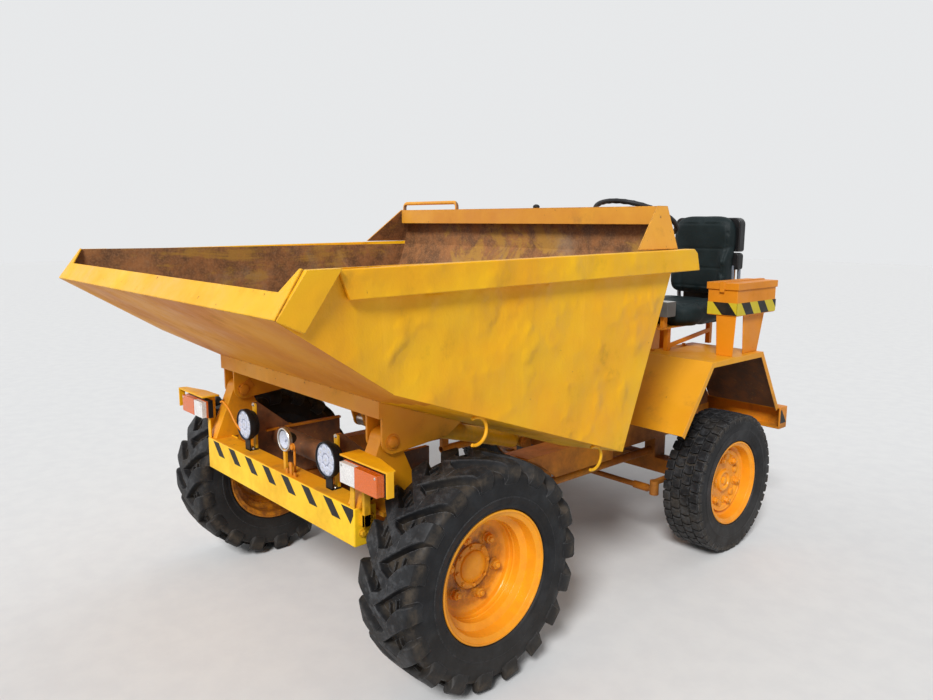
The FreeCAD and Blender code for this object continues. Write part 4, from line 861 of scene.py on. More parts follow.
def wheel_profile(rim_radius, seat, half, dish, disc, cap):
    """Closed section of a pressed wheel, from the outer flange over the back to the hub cap."""
    well = seat - 0.028
    skin = well - 0.007
    back = dish - disc
    front = [(half, rim_radius - 0.007), (half, rim_radius - 0.002), (half - 0.002, rim_radius),
             (half - 0.010, rim_radius), (half - 0.0125, rim_radius - 0.003), (half - 0.016, seat),
             (half - 0.050, seat - 0.006), (half - 0.062, well)]
    behind = [(-x, r) for x, r in reversed(front)]
    hollow = [(half - 0.062, skin), (half - 0.050, seat - 0.013), (half - 0.013, seat - 0.0075),
              (half - 0.009, seat - 0.003), (half - 0.0065, rim_radius - 0.012), (half - 0.004, rim_radius - 0.008)]
    hollow_back = [(-x, r) for x, r in reversed(hollow)]
    dish_back = [(back + 0.009, skin), (back + 0.009, skin * 0.93), (back, skin * 0.86), (back, 0.0)]
    dish_front = [(dish + rise, radius) for rise, radius in cap]
    dish_front += [(dish, skin * 0.80), (dish + 0.0015, skin * 0.83), (dish + 0.0080, skin * 0.885),
                   (dish + 0.0090, skin * 0.905), (dish + 0.0090, skin * 0.955), (dish + 0.0105, skin * 0.985),
                   (dish + 0.0140, skin)]
    well_beads = [(dish + (half - 0.062 - dish) * share, skin - drop)
                  for share, drop in ((0.42, 0.0), (0.46, 0.0022), (0.52, 0.0022), (0.56, 0.0))]
    return front + behind + hollow_back + dish_back + dish_front + well_beads + hollow


FRONT_CAP = ((0.030, 0.0), (0.0296, 0.012), (0.0280, 0.026), (0.0245, 0.039), (0.0200, 0.048), (0.0155, 0.0535),
             (0.0095, 0.0560), (0.0085, 0.058), (0.0085, 0.0765), (0.0060, 0.0775), (0.0015, 0.0780), (0.0010, 0.0815),
             (0.0, 0.083))
REAR_CAP = ((0.006, 0.0), (0.006, 0.033), (0.0085, 0.0355), (0.013, 0.0375), (0.0142, 0.0395), (0.0142, 0.0475),
            (0.013, 0.0500), (0.002, 0.0525), (0.0, 0.056))


class DUMPER_OT_wheels(Operator):
    """Make the dished wheels with their nuts, hub caps and cap bolts"""
    bl_idname = "dumper.wheels"
    bl_label = "Wheels"

    def execute(self, context):
        sizes = context.scene.dumper_tyres
        paint = FINISH["rim_orange"]
        rows = (("front", 0.224, 0.207, 0.11352, -0.010, 0.009, FRONT_CAP, sizes.front_nuts, sizes.nut_circle, 0.030),
                ("rear", 0.196, 0.180, 0.08084, 0.022, 0.009, REAR_CAP, sizes.rear_nuts, sizes.rear_nut_circle, 0.026))
        for axle, rim, seat, half, dish, disc, cap, nuts, circle, flats in rows:
            for name, side in (("left", 1), ("right", -1)):
                centre = middle(axle + "_tyre_" + name)
                axis = Vector((side, 0, 0))
                bm = bmesh.new()
                outline = wheel_profile(rim, seat, half, dish, disc, cap)
                rings = add_turned(bm, outline + outline[:1], centre, axis, 96)
                bmesh.ops.remove_doubles(bm, verts=bm.verts, dist=0.00001)
                bmesh.ops.recalc_face_normals(bm, faces=bm.faces)
                meshes = [mesh_from(bm, "wheel", [paint], 28)]
                bm = bmesh.new()
                spot = Vector((side * dish, 0, circle))
                add_turned(bm, [(0.0, 0.0), (0.0, 0.021), (0.003, 0.0205), (0.0045, 0.017), (0.0045, 0.0)], spot, axis, 24)
                add_hex_bolt(bm, spot + axis * 0.0045, axis, flats, 0.016)
                add_turned(bm, [(0.018, 0.0090), (0.027, 0.0090), (0.0285, 0.0075), (0.0285, 0.0)], spot, axis, 14)
                meshes.append(ring_of(bm, "nuts", nuts, 0.3, paint, centre, 30))
                bm = bmesh.new()
                if axle == "front":
                    spot = Vector((side * (dish + 0.0085), 0, 0.0675))
                    add_hex_bolt(bm, spot, axis, 0.012, 0.006, 0.008)
                    meshes.append(ring_of(bm, "cap_bolts", 8, 0.1, paint, centre, 30))
                else:
                    spot = Vector((side * dish, 0, circle + 0.004))
                    add_turned(bm, [(0.0, 0.019), (0.005, 0.018), (0.009, 0.013), (0.010, 0.0)], spot, axis, 20)
                    meshes.append(ring_of(bm, "bosses", nuts, 0.3 + math.pi / nuts, paint, centre, 30))
                    bm = bmesh.new()
                    add_hex_bolt(bm, centre + axis * (dish + 0.006), axis, 0.030, 0.010, 0.020)
                    meshes.append(mesh_from(bm, "centre_nut", [paint], 30))
                whole = joined(meshes, axle + "_wheel_steel_" + name)
                hub = 0.062 if axle == "front" else 0.052

                # Darker marks on the wheels: the rings round the hub cap and at the nut circle are partly grime, partly
                # painted shade in the hollows; the lower half near the hub is darker towards the bottom; the inner side
                # is dirt and rust.
                def grime_and_shade_at(point):
                    reach = math.hypot(point.y - centre.y, point.z - centre.z)
                    low = ease(centre.z - point.z, 0.0, 0.1) * 0.15 if reach < 0.12 else 0.0
                    hub_grime_and_shade = math.exp(-((reach - hub - 0.022) / 0.014) ** 2) * 0.60
                    inward = side * (centre.x - point.x)
                    inner_side = ease(inward, 0.0, 0.02) if reach < rim - 0.02 else ease(inward, 0.02, 0.06)
                    return min(1.0, hub_grime_and_shade + low + math.exp(-((reach - circle) / 0.020) ** 2) * 0.18
                               + inner_side * 0.95)

                mark(whole, "grime", grime_and_shade_at)
                link_piece(axle + "_wheel_steel_" + name, whole, axle + "_wheel_" + name,
                           [axle + "_rim_" + name])
        return {"FINISHED"}


# Skip

def edge_lines(bm, angle):
    """Ends of the edges where two faces meet at more than an angle."""
    lines = []
    for edge in bm.edges:
        if len(edge.link_faces) != 2 or edge.calc_face_angle(3.0) > angle:
            lines.append((edge.verts[0].co.copy(), edge.verts[1].co.copy()))
    return lines


def split_long_edges(bm, longest, rounds=7):
    for _ in range(rounds):
        long_edges = [e for e in bm.edges if e.calc_length() > longest]
        if not long_edges:
            break
        bmesh.ops.subdivide_edges(bm, edges=long_edges, cuts=1, use_grid_fill=True)
    bmesh.ops.triangulate(bm, faces=[f for f in bm.faces if len(f.verts) > 4])


def distance_to_lines(point, lines):
    best = 1e9
    for start, end in lines:
        line = end - start
        share = max(0.0, min(1.0, (point - start).dot(line) / max(line.length_squared, 1e-12)))
        best = min(best, (start + line * share - point).length_squared)
    return math.sqrt(best)


def dent_at(point):
    """Depth of the dents in the skip's plates at a place: broad waves with a few knocks."""
    broad = noise.noise(point * 2.3 + Vector((3.1, 0.4, 7.7)))
    small = noise.noise(point * 5.5 + Vector((1.7, 9.2, 0.3)))
    knock = max(0.0, noise.noise(point * 4.1 + Vector((8.3, 2.2, 5.9))) - 0.28)
    return broad * 0.6 + small * 0.45 - knock * 1.3


class DumperSkip(PropertyGroup):
    dents: FloatProperty(name="Dents", description="Depth of the dents in the skip's plates", unit="LENGTH",
                         default=0.014, min=0.0, max=0.02)
    edge: FloatProperty(name="Edge rounding", description="Rounding of plate edges", unit="LENGTH",
                        default=0.0018, min=0.0, max=0.01)


class DUMPER_OT_skip(Operator):
    """Make the dented skip body, rusty inside and brushed yellow outside, with darker paint on the down-facing front
    faces as painted shade
    """
    bl_idname = "dumper.skip"
    bl_label = "Skip body"

    def execute(self, context):
        sizes = context.scene.dumper_skip
        bm = merged_copy("skip_tub")
        lines = edge_lines(bm, math.radians(4))
        split_long_edges(bm, 0.045)
        low, high = box("skip_tub")
        inside = Vector((0, (low.y + high.y) / 2 - 0.1, high.z - 0.33))
        bm.normal_update()
        moves = {}
        for vert in bm.verts:
            room = distance_to_lines(vert.co, lines)
            if room < 0.002:
                continue
            normal = vert.normal
            outward = normal if (vert.co - inside).dot(normal) > 0 else -normal
            fade = min(1.0, room / 0.10)
            fade = fade * fade * (3 - 2 * fade)
            moves[vert] = outward * (dent_at(vert.co) * sizes.dents * fade)
        for vert, move in moves.items():
            vert.co += move
        ramp_front = AXLE_Y - 0.25
        for face in bm.faces:
            middle_of_face = face.calc_center_median()
            inner = (inside - middle_of_face).dot(face.normal) > 0.02
            # Down-facing faces at the front get the darker ramp paint as painted shade.
            ramp = face.normal.z < -0.6 and middle_of_face.y < ramp_front
            face.material_index = 1 if inner else (2 if ramp else 0)
            face.smooth = True
        finishes = [FINISH["yellow_paint"], FINISH["load_steel"], FINISH["ramp_paint"]]
        piece_from(bm, "skip_body_dented", finishes, "skip", ["skip_tub"], 18)
        return {"FINISHED"}


# Node, finish, rounding of its edges in metres, body
PLATES = (
    ("skip_lip", "lip_paint", 0.0025, "skip"),
    ("skip_side_rims", "yellow_paint", 0.004, "skip"),
    ("skip_rear_rim", "rim_paint", 0.003, "skip"),
    ("skip_clevises", "ear_paint", 0.0018, "skip"),
    ("front_bumper", "bumper_paint", 0.004, "chassis"),
    ("pivot_brackets", "ear_paint", 0.0018, "chassis"),
    ("mudguard_left", "guard_paint", 0.0015, "chassis"),
    ("mudguard_right", "guard_paint", 0.0015, "chassis"),
    ("chassis_frame", "frame_paint", 0.002, "chassis"),
    ("rear_beam", "orange_paint", 0.003, "chassis"),
    ("toolbox", "orange_paint", 0.0018, "chassis"),
    ("toolbox_lid", "orange_paint", 0.0018, "toolbox_door"),
    ("bonnet_sides", "orange_paint", 0.0018, "chassis"),
    ("bonnet_lid", "orange_paint", 0.004, "bonnet_door"),
    ("seat_stand", "orange_paint", 0.0015, "chassis"),
    ("deck_plate", "frame_paint", 0.001, "chassis"),
    ("steering_column", "dark_steel", 0.0015, "chassis"),
    ("front_axle", "frame_paint", 0.003, "chassis"),
    ("rear_axle", "frame_paint", 0.003, "chassis"),
    ("knuckle_left", "frame_paint", 0.0015, "steer_left"),
    ("knuckle_right", "frame_paint", 0.0015, "steer_right"),
    ("tie_rod", "frame_paint", 0.001, "steer_tie_rod"),
)


def coat_at(node, x, y, z, normal):
    """Coat of a face: 0 the node's own, 1 old brown, which on the mudguards' undersides is partly painted shade, 2 and
    3 the control box and its top, 4 rust, 5 worn orange.
    """
    if node == "chassis_frame" and abs(x) < 0.335 and z < 0.674 and y < 0.60 and abs(normal.z) < 0.7:
        return 1
    # Down-facing faces of the mudguards and faces at their inner edge get the old brown: partly real grime, partly
    # painted shade.
    if node.startswith("mudguard") and (normal.z < -0.3 or (abs(x) < 0.40 and normal.x * x > 0)):
        return 1
    if node == "seat_stand" and y < 1.498 and z > 1.083:
        return 3 if normal.z > 0.7 else 2
    if node == "skip_rear_rim" and normal.x * x < -0.2:
        return 4
    if node == "front_bumper" and normal.z > 0.7:
        return 5
    return 0


class DUMPER_OT_plates(Operator):
    """Round the edges of the plates and boxes and give them their paint"""
    bl_idname = "dumper.plates"
    bl_label = "Plates"

    def execute(self, context):
        for node, finish, width, body in PLATES:
            bm = merged_copy(node)
            bm.normal_update()
            for face in bm.faces:
                spot = face.calc_center_median()
                face.material_index = coat_at(node, spot.x, spot.y - AXLE_Y, spot.z, face.normal)
            finishes = [FINISH[key] for key in (finish, "worn_brown", "box_grey", "box_top", "load_steel",
                                                   "bumper_top")]
            piece = piece_from(bm, node + "_plate", finishes, body, [node], 30)
            round_edges(piece, width)
        return {"FINISHED"}



# Lamps

def add_plate(bm, corners, depth, material=0):
    """Flat plate from a loop of corners, given thickness along a vector."""
    front = [bm.verts.new(p) for p in corners]
    back = [bm.verts.new(p + depth) for p in corners]
    count = len(corners)
    faces = [bm.faces.new(front), bm.faces.new(list(reversed(back)))]
    for k in range(count):
        faces.append(bm.faces.new((front[k], back[k], back[(k + 1) % count], front[(k + 1) % count])))
    for face in faces:
        face.material_index = material
    return faces


def add_tube(bm, path, radius, segments=12, material=0):
    """Round bar along a path with flat ends."""
    rings = []
    for k, spot in enumerate(path):
        before = path[max(0, k - 1)]
        after = path[min(len(path) - 1, k + 1)]
        side, other, _ = frame_of(after - before)
        if rings:
            last = rings[-1][1]
            side = (last - (after - before).normalized() * last.dot((after - before).normalized())).normalized()
            other = (after - before).normalized().cross(side)
        loop = [bm.verts.new(spot + (side * math.cos(a) + other * math.sin(a)) * radius)
                for a in (2 * math.pi * n / segments for n in range(segments))]
        rings.append((loop, side))
    for (first, _), (second, _) in zip(rings[:-1], rings[1:]):
        for n in range(segments):
            face = bm.faces.new((first[n], first[(n + 1) % segments], second[(n + 1) % segments], second[n]))
            face.material_index = material
    for loop in (list(reversed(rings[0][0])), rings[-1][0]):
        bm.faces.new(loop).material_index = material


def bent(points, radius=0.02, steps=4):
    """Path through corners with each corner rounded."""
    path = [points[0]]
    for before, corner, after in zip(points[:-2], points[1:-1], points[2:]):
        into = (before - corner).normalized() * min(radius, (before - corner).length * 0.45)
        away = (after - corner).normalized() * min(radius, (after - corner).length * 0.45)
        for k in range(steps + 1):
            t = k / steps
            path.append(corner + into * (1 - t) ** 2 + away * t ** 2)
    path.append(points[-1])
    return path


class DumperLamps(PropertyGroup):
    work_radius: FloatProperty(name="Work lamp radius", description="Radius of a round work lamp", unit="LENGTH",
                               default=0.062, min=0.02)
    head_radius: FloatProperty(name="Head lamp radius", description="Radius of the small head lamp's ring",
                               unit="LENGTH", default=0.044, min=0.02)
    reflectors: IntProperty(name="Reflectors", description="Outer reflectors of a work lamp", default=8, min=3)


class DUMPER_OT_front_lamps(Operator):
    """Make the two round work lamps, the small head lamp and their stays"""
    bl_idname = "dumper.front_lamps"
    bl_label = "Front lamps"

    def execute(self, context):
        sizes = context.scene.dumper_lamps
        front = Vector((0, -1, 0))
        radius = sizes.work_radius
        paint, shell, glass, chrome, steel, dark, bowl = range(7)
        bm = bmesh.new()
        for x in (0.339, -0.262):
            centre = at(x, -0.320, 0.727)
            add_turned(bm, [(-0.0449, 0.0), (-0.0449, radius * 0.76), (-0.043, radius * 0.80), (-0.034, radius * 0.86),
                            (-0.0335, radius * 0.83), (-0.0315, radius * 0.83), (-0.031, radius * 0.89),
                            (-0.027, radius * 0.93), (-0.0265, radius * 0.90), (-0.0245, radius * 0.90),
                            (-0.024, radius * 0.965), (-0.018, radius), (-0.0015, radius), (0.0, radius - 0.0015),
                            (0.0, radius - 0.0048), (-0.0030, radius - 0.0058), (-0.0045, radius - 0.006),
                            (-0.0052, radius - 0.006), (-0.0052, 0.0)], centre, front, 56, shell)
            add_turned(bm, [(-0.0050, 0.0), (-0.0050, radius - 0.0065), (-0.0044, radius - 0.0070), (-0.0044, 0.0)],
                       centre, front, 56, glass)
            spots = [(0.0, 0.0)]
            spots += [(radius * 0.60 * math.cos(a), radius * 0.60 * math.sin(a))
                      for a in (2 * math.pi * k / sizes.reflectors + 0.2 for k in range(sizes.reflectors))]
            for dx, dz in spots:
                size = radius * (0.26 if dx or dz else 0.30)
                spot = centre + Vector((dx, 0, dz)) + front * -0.0046
                add_turned(bm, [(0.0, size), (0.0014, size * 0.97), (0.0026, size * 0.84), (0.0030, size * 0.66),
                                (0.0022, size * 0.36), (0.0020, size * 0.22)], spot, front, 18, bowl)
                add_turned(bm, [(0.0020, size * 0.22), (0.0026, size * 0.15), (0.0027, 0.0)], spot, front, 12, chrome)
            add_plate(bm, [at(x - 0.012, -0.275, 0.625), at(x + 0.012, -0.275, 0.625), at(x + 0.012, -0.275, 0.806),
                           at(x - 0.012, -0.275, 0.806)], Vector((0, 0.008, 0)), paint)
            for lift in (0.03, 0.075):
                add_hex_bolt(bm, at(x, -0.2749, 0.727 + lift), front, 0.010, 0.005, 0.0075, steel)
            foot = [at(x - 0.02, -0.306, 0.622), at(x + 0.02, -0.306, 0.622), at(x + 0.02, -0.306, 0.672),
                    at(x - 0.02, -0.306, 0.672)]
            add_plate(bm, foot, Vector((0, 0.004, 0)), shell)
            add_plate(bm, [at(x - 0.02, -0.306, 0.622), at(x + 0.02, -0.306, 0.622), at(x + 0.02, -0.270, 0.622),
                           at(x - 0.02, -0.270, 0.622)], Vector((0, 0, 0.004)), shell)
            for side in (-1, 1):
                add_hex_bolt(bm, at(x + side * 0.011, -0.288, 0.6258), Vector((0, 0, 1)), 0.008, 0.005, 0.0065, steel)
        centre = at(0.053, -0.320, 0.735)
        size = sizes.head_radius
        add_turned(bm, [(-0.0499, 0.0), (-0.0499, 0.012), (-0.046, 0.016), (-0.030, 0.026), (-0.020, 0.036),
                        (-0.0165, size - 0.004), (-0.0155, size - 0.001)], centre, front, 48, dark)
        add_turned(bm, [(-0.0155, size - 0.001), (-0.013, size), (-0.003, size), (-0.0008, size - 0.0015),
                        (0.0, size - 0.0035), (-0.0010, size - 0.0062), (-0.0055, size - 0.0072)],
                   centre, front, 48, chrome)
        add_turned(bm, [(-0.0055, size - 0.0072), (-0.0058, size - 0.0105), (-0.0042, size - 0.0110)],
                   centre, front, 48, dark)
        add_turned(bm, [(-0.0045, size - 0.0108), (-0.0100, size * 0.58), (-0.0135, size * 0.30), (-0.0135, size * 0.16),
                        (-0.0060, size * 0.15), (-0.0052, 0.0)], centre, front, 40, bowl)
        add_plate(bm, [at(0.045, -0.316, 0.622), at(0.061, -0.316, 0.622), at(0.061, -0.316, 0.700),
                       at(0.045, -0.316, 0.700)], Vector((0, 0.010, 0)), paint)
        bmesh.ops.remove_doubles(bm, verts=bm.verts, dist=0.00001)
        bmesh.ops.recalc_face_normals(bm, faces=bm.faces)
        finishes = [FINISH[key] for key in ("yellow_paint", "lamp_black", "lamp_lens", "bright_steel", "bright_steel",
                                            "lamp_black", "lamp_bowl")]
        piece_from(bm, "front_lamp_set", finishes, "chassis", ["front_lamps"], 30)
        bm = bmesh.new()
        for path, thick in ((bent([at(0.100, -0.300, 0.622), at(0.100, -0.300, 0.712), at(0.075, -0.300, 0.722),
                                   at(0.060, -0.295, 0.722)], 0.010), 0.0045),):
            add_tube(bm, path, thick)
        add_hex_bolt(bm, at(0.100, -0.304, 0.716), front, 0.019, 0.010, 0.014)
        for x, low, top in ((0.112, 0.620, 0.668), (0.084, 0.620, 0.640), (0.140, 0.620, 0.636)):
            add_plate(bm, [at(x, -0.330, low), at(x + 0.016, -0.330, low), at(x + 0.016, -0.330, top),
                           at(x, -0.330, top)], Vector((0, 0.005, 0)))
        add_tube(bm, bent([at(-0.428, -0.335, 0.792), at(-0.408, -0.335, 0.800), at(-0.360, -0.330, 0.772),
                           at(-0.322, -0.326, 0.722), at(-0.300, -0.310, 0.690), at(-0.285, -0.285, 0.672)], 0.03, 5),
                 0.0042, 10)
        bmesh.ops.recalc_face_normals(bm, faces=bm.faces)
        piece_from(bm, "lamp_stays", [FINISH["orange_paint"]], "chassis", (), 35)
        return {"FINISHED"}


class DUMPER_OT_signal_lamps(Operator):
    """Make the direction lamps at the front and the lamps on the rear beam"""
    bl_idname = "dumper.signal_lamps"
    bl_label = "Direction and tail lamps"

    def execute(self, context):
        for key, side in (("left", 1), ("right", -1)):
            bm = bmesh.new()
            split = 0.603
            rows = ((0.5175, 0.7225, -0.350, -0.330, 0.708, 0.782, 0), (0.5195, 0.7205, -0.358, -0.350, 0.710, 0.780, 1),
                    (split, 0.7195, -0.3775, -0.358, 0.711, 0.779, 1), (0.5205, split - 0.002, -0.3765, -0.358, 0.712, 0.778, 2))
            for x0, x1, y0, y1, z0, z1, material in rows:
                low, high = sorted((side * x0, side * x1))
                add_block(bm, at(low, y0, z0), at(high, y1, z1), material)
            for x in (0.531, 0.711):
                add_turned(bm, [(0.0, 0.0), (0.0, 0.0045), (0.0012, 0.0040), (0.0018, 0.0)],
                           at(side * x, -0.3775, 0.770), Vector((0, -1, 0)), 12, 3)
            add_turned(bm, [(0.0, 0.026), (0.0008, 0.021), (0.0014, 0.012), (0.0016, 0.0)],
                       at(side * 0.562, -0.3765, 0.745), Vector((0, -1, 0)), 32, 2)
            finishes = [FINISH[name] for name in ("lamp_black", "signal_amber", "clear_lens", "bright_steel")]
            piece = piece_from(bm, "direction_lamp_" + key, finishes, "chassis",
                               ["signal_lamps"] if side > 0 else [], 30)
            round_edges(piece, 0.003, 2, 30)
        for key, side in (("left", 1), ("right", -1)):
            low, high = box("tail_lamps")
            bm = bmesh.new()
            x1 = high.x
            x0 = x1 - 0.100
            for a, b, y0, y1, z0, z1, material in (
                    (x0, x1, low.y, low.y + 0.014, low.z, high.z, 0),
                    (x0 + 0.003, x0 + 0.049, low.y + 0.014, high.y, low.z + 0.003, high.z - 0.003, 1),
                    (x0 + 0.051, x1 - 0.003, low.y + 0.014, high.y, low.z + 0.003, high.z - 0.003, 2)):
                p, q = sorted((side * a, side * b))
                add_block(bm, (p, y0, z0), (q, y1, z1), material)
            finishes = [FINISH[name] for name in ("lamp_black", "tail_red", "signal_amber")]
            piece = piece_from(bm, "tail_lamp_" + key, finishes, "chassis",
                               ["tail_lamps"] if side > 0 else [], 30)
            round_edges(piece, 0.003, 2, 30)
        return {"FINISHED"}


class DUMPER_OT_hazard_bars(Operator):
    """Lay the dark bars on the bumper, and the striped bands on the toolbox and on the rear beam's ends"""
    bl_idname = "dumper.hazard_bars"
    bl_label = "Hazard bars"

    def execute(self, context):
        bm = bmesh.new()
        face = -0.3456
        for k in range(7):
            x = -0.497 + 0.1435 * k
            add_plate(bm, [at(x, face, 0.6175), at(x + 0.052, face, 0.6180), at(x + 0.105, face, 0.5635),
                           at(x + 0.053, face, 0.5630)], Vector((0, 0.0009, 0)))
        add_plate(bm, [at(0.473, face, 0.6180), at(0.5440, face, 0.6185), at(0.5440, face, 0.598), at(0.527, face, 0.566)],
                  Vector((0, 0.0009, 0)))
        bmesh.ops.recalc_face_normals(bm, faces=bm.faces)
        piece_from(bm, "bumper_bars", [FINISH["band_black"]], "chassis", (), 30)
        bm = bmesh.new()
        low, high = 1.1035, 1.1600
        front, side = 1.5752, 0.7528
        add_plate(bm, [at(0.6045, front, low), at(side, front, low), at(side, front, high), at(0.6045, front, high)],
                  Vector((0, 0.0010, 0)), 0)
        add_plate(bm, [at(side, front, low), at(side, 1.9362, low), at(side, 1.9362, high), at(side, front, high)],
                  Vector((-0.0010, 0, 0)), 0)
        over = 0.0004
        add_plate(bm, [at(0.631, front - over, high), at(0.709, front - over, high),
                       at(0.7528, front - over, low), at(0.680, front - over, low)], Vector((0, 0.0004, 0)), 1)
        for a, b, c, d in ((1.612, 1.688, 1.731, 1.659), (1.758, 1.824, 1.871, 1.799)):
            add_plate(bm, [at(side + over, a, high), at(side + over, b, high), at(side + over, c, low),
                           at(side + over, d, low)], Vector((-0.0004, 0, 0)), 1)
        add_plate(bm, [at(side + over, 1.900, high), at(side + over, 1.9362, high),
                       at(side + over, 1.9362, 1.121)], Vector((-0.0004, 0, 0)), 1)
        bmesh.ops.recalc_face_normals(bm, faces=bm.faces)
        piece_from(bm, "toolbox_band", [FINISH["band_yellow"], FINISH["band_black"]], "chassis", (), 30)
        low, high = box("rear_beam")
        bm = bmesh.new()
        for side in (-1, 1):
            x = side * (high.x + 0.0006)
            near, far = low.y + 0.008, high.y - 0.008
            add_plate(bm, [Vector((x, near, low.z + 0.028)), Vector((x, far, low.z + 0.028)),
                           Vector((x, near + 0.010, high.z - 0.014)), Vector((x, near, high.z - 0.014))],
                      Vector((-side * 0.0010, 0, 0)))
        bmesh.ops.recalc_face_normals(bm, faces=bm.faces)
        piece_from(bm, "beam_end_marks", [FINISH["band_black"]], "chassis", (), 30)
        return {"FINISHED"}


# Driver's place

class DumperSeat(PropertyGroup):
    pressure: FloatProperty(name="Padding pressure", description="Air pressure that swells the padding", default=4.0,
                            min=0.0)
    voxel: FloatProperty(name="Cloth grid", description="Size of the grid that the cover is remeshed to",
                         unit="LENGTH", default=0.006, min=0.003)
    swell: FloatProperty(name="Greatest swelling", description="How far a point of the cover may move",
                         unit="LENGTH", default=0.011, min=0.0)
    wings: FloatProperty(name="Backrest wings", description="How far the lower sides of the backrest reach forward",
                         unit="LENGTH", default=0.052, min=0.0, max=0.08)
    seam: FloatProperty(name="Seam depth", description="Depth of the sewn seams", unit="LENGTH", default=0.0032,
                        min=0.0)


def pad_shape(half_width, half_length, thick, powers, round_over, taper=0.0, rings=9, count=88):
    """Closed pad lying in the plane of u and v, with w through its thickness; powers square its far and near corners."""
    bm = bmesh.new()

    def loop(share, w):
        made = []
        for k in range(count):
            a = 2 * math.pi * k / count
            c, s = math.cos(a), math.sin(a)
            power = powers[0] if s > 0 else powers[1]
            u = math.copysign(abs(c) ** (2 / power), c) * half_width * share
            v = math.copysign(abs(s) ** (2 / power), s) * half_length * share
            u *= 1 - taper * (0.5 - v / (2 * half_length))
            made.append(bm.verts.new((u, v, w)))
        return made

    loops = []
    steps = 4
    edge = 1 - round_over / half_width
    for sign in (1, -1):
        inner = [loop(edge * k / rings, sign * thick / 2) for k in range(1, rings + 1)]
        corner = [loop(edge + (1 - edge) * math.sin(math.pi / 2 * k / steps),
                       sign * (thick / 2 - round_over * (1 - math.cos(math.pi / 2 * k / steps))))
                  for k in range(1, steps + 1)]
        side = inner + corner
        loops += side if sign > 0 else list(reversed(side))
    for first, second in zip(loops[:-1], loops[1:]):
        for k in range(count):
            bm.faces.new((first[k], first[(k + 1) % count], second[(k + 1) % count], second[k]))
    bm.faces.new(loops[0])
    bm.faces.new(loops[-1])
    bmesh.ops.recalc_face_normals(bm, faces=bm.faces)
    return bm


def swollen(mesh, name, sizes):
    """Cover of a pad after its padding has swelled it."""
    scene = bpy.context.scene
    holder = bpy.data.objects.new(name, mesh)
    scene.collection.objects.link(holder)
    grid = holder.modifiers.new("grid", "REMESH")
    grid.mode = "VOXEL"
    grid.voxel_size = sizes.voxel
    plain = bpy.data.meshes.new_from_object(holder.evaluated_get(bpy.context.evaluated_depsgraph_get()))
    holder.modifiers.clear()
    holder.data = plain
    start = [v.co.copy() for v in plain.vertices]
    cloth = holder.modifiers.new("cover", "CLOTH")
    cloth.settings.quality = 5
    cloth.settings.mass = 0.3
    cloth.settings.tension_stiffness = 12
    cloth.settings.compression_stiffness = 12
    cloth.settings.bending_stiffness = 0.6
    cloth.settings.use_pressure = True
    cloth.settings.uniform_pressure_force = sizes.pressure
    cloth.settings.effector_weights.gravity = 0.0
    cloth.point_cache.frame_start = 1
    cloth.point_cache.frame_end = 20
    for number in range(1, 21):
        scene.frame_set(number)
    moved = bpy.data.meshes.new_from_object(holder.evaluated_get(bpy.context.evaluated_depsgraph_get()))
    for vert, was in zip(moved.vertices, start):
        step = vert.co - was
        if step.length > sizes.swell:
            vert.co = was + step * (sizes.swell / step.length)
    holder.modifiers.clear()
    bpy.data.objects.remove(holder)
    scene.frame_set(1)
    return moved


def sewn(mesh, half_width, half_length, depth, seams):
    """Presses sewn seams into a pad's face; each seam is a function of u and v that is 0 along it."""
    for vert in mesh.vertices:
        u, v = vert.co.x / half_width, vert.co.y / half_length
        push = 0.0
        for away, width in seams:
            push += math.exp(-(away(u, v) / width) ** 2)
        face = max(0.0, vert.normal.z)
        vert.co.z -= depth * min(1.0, push) * face


def placed(mesh, centre, u, v, w):
    """Turns a pad from its own plane to its place and shades it smooth."""
    turn = Matrix((u, v, w)).transposed().to_4x4()
    mesh.transform(Matrix.Translation(centre) @ turn)
    mesh.shade_smooth()
    return mesh


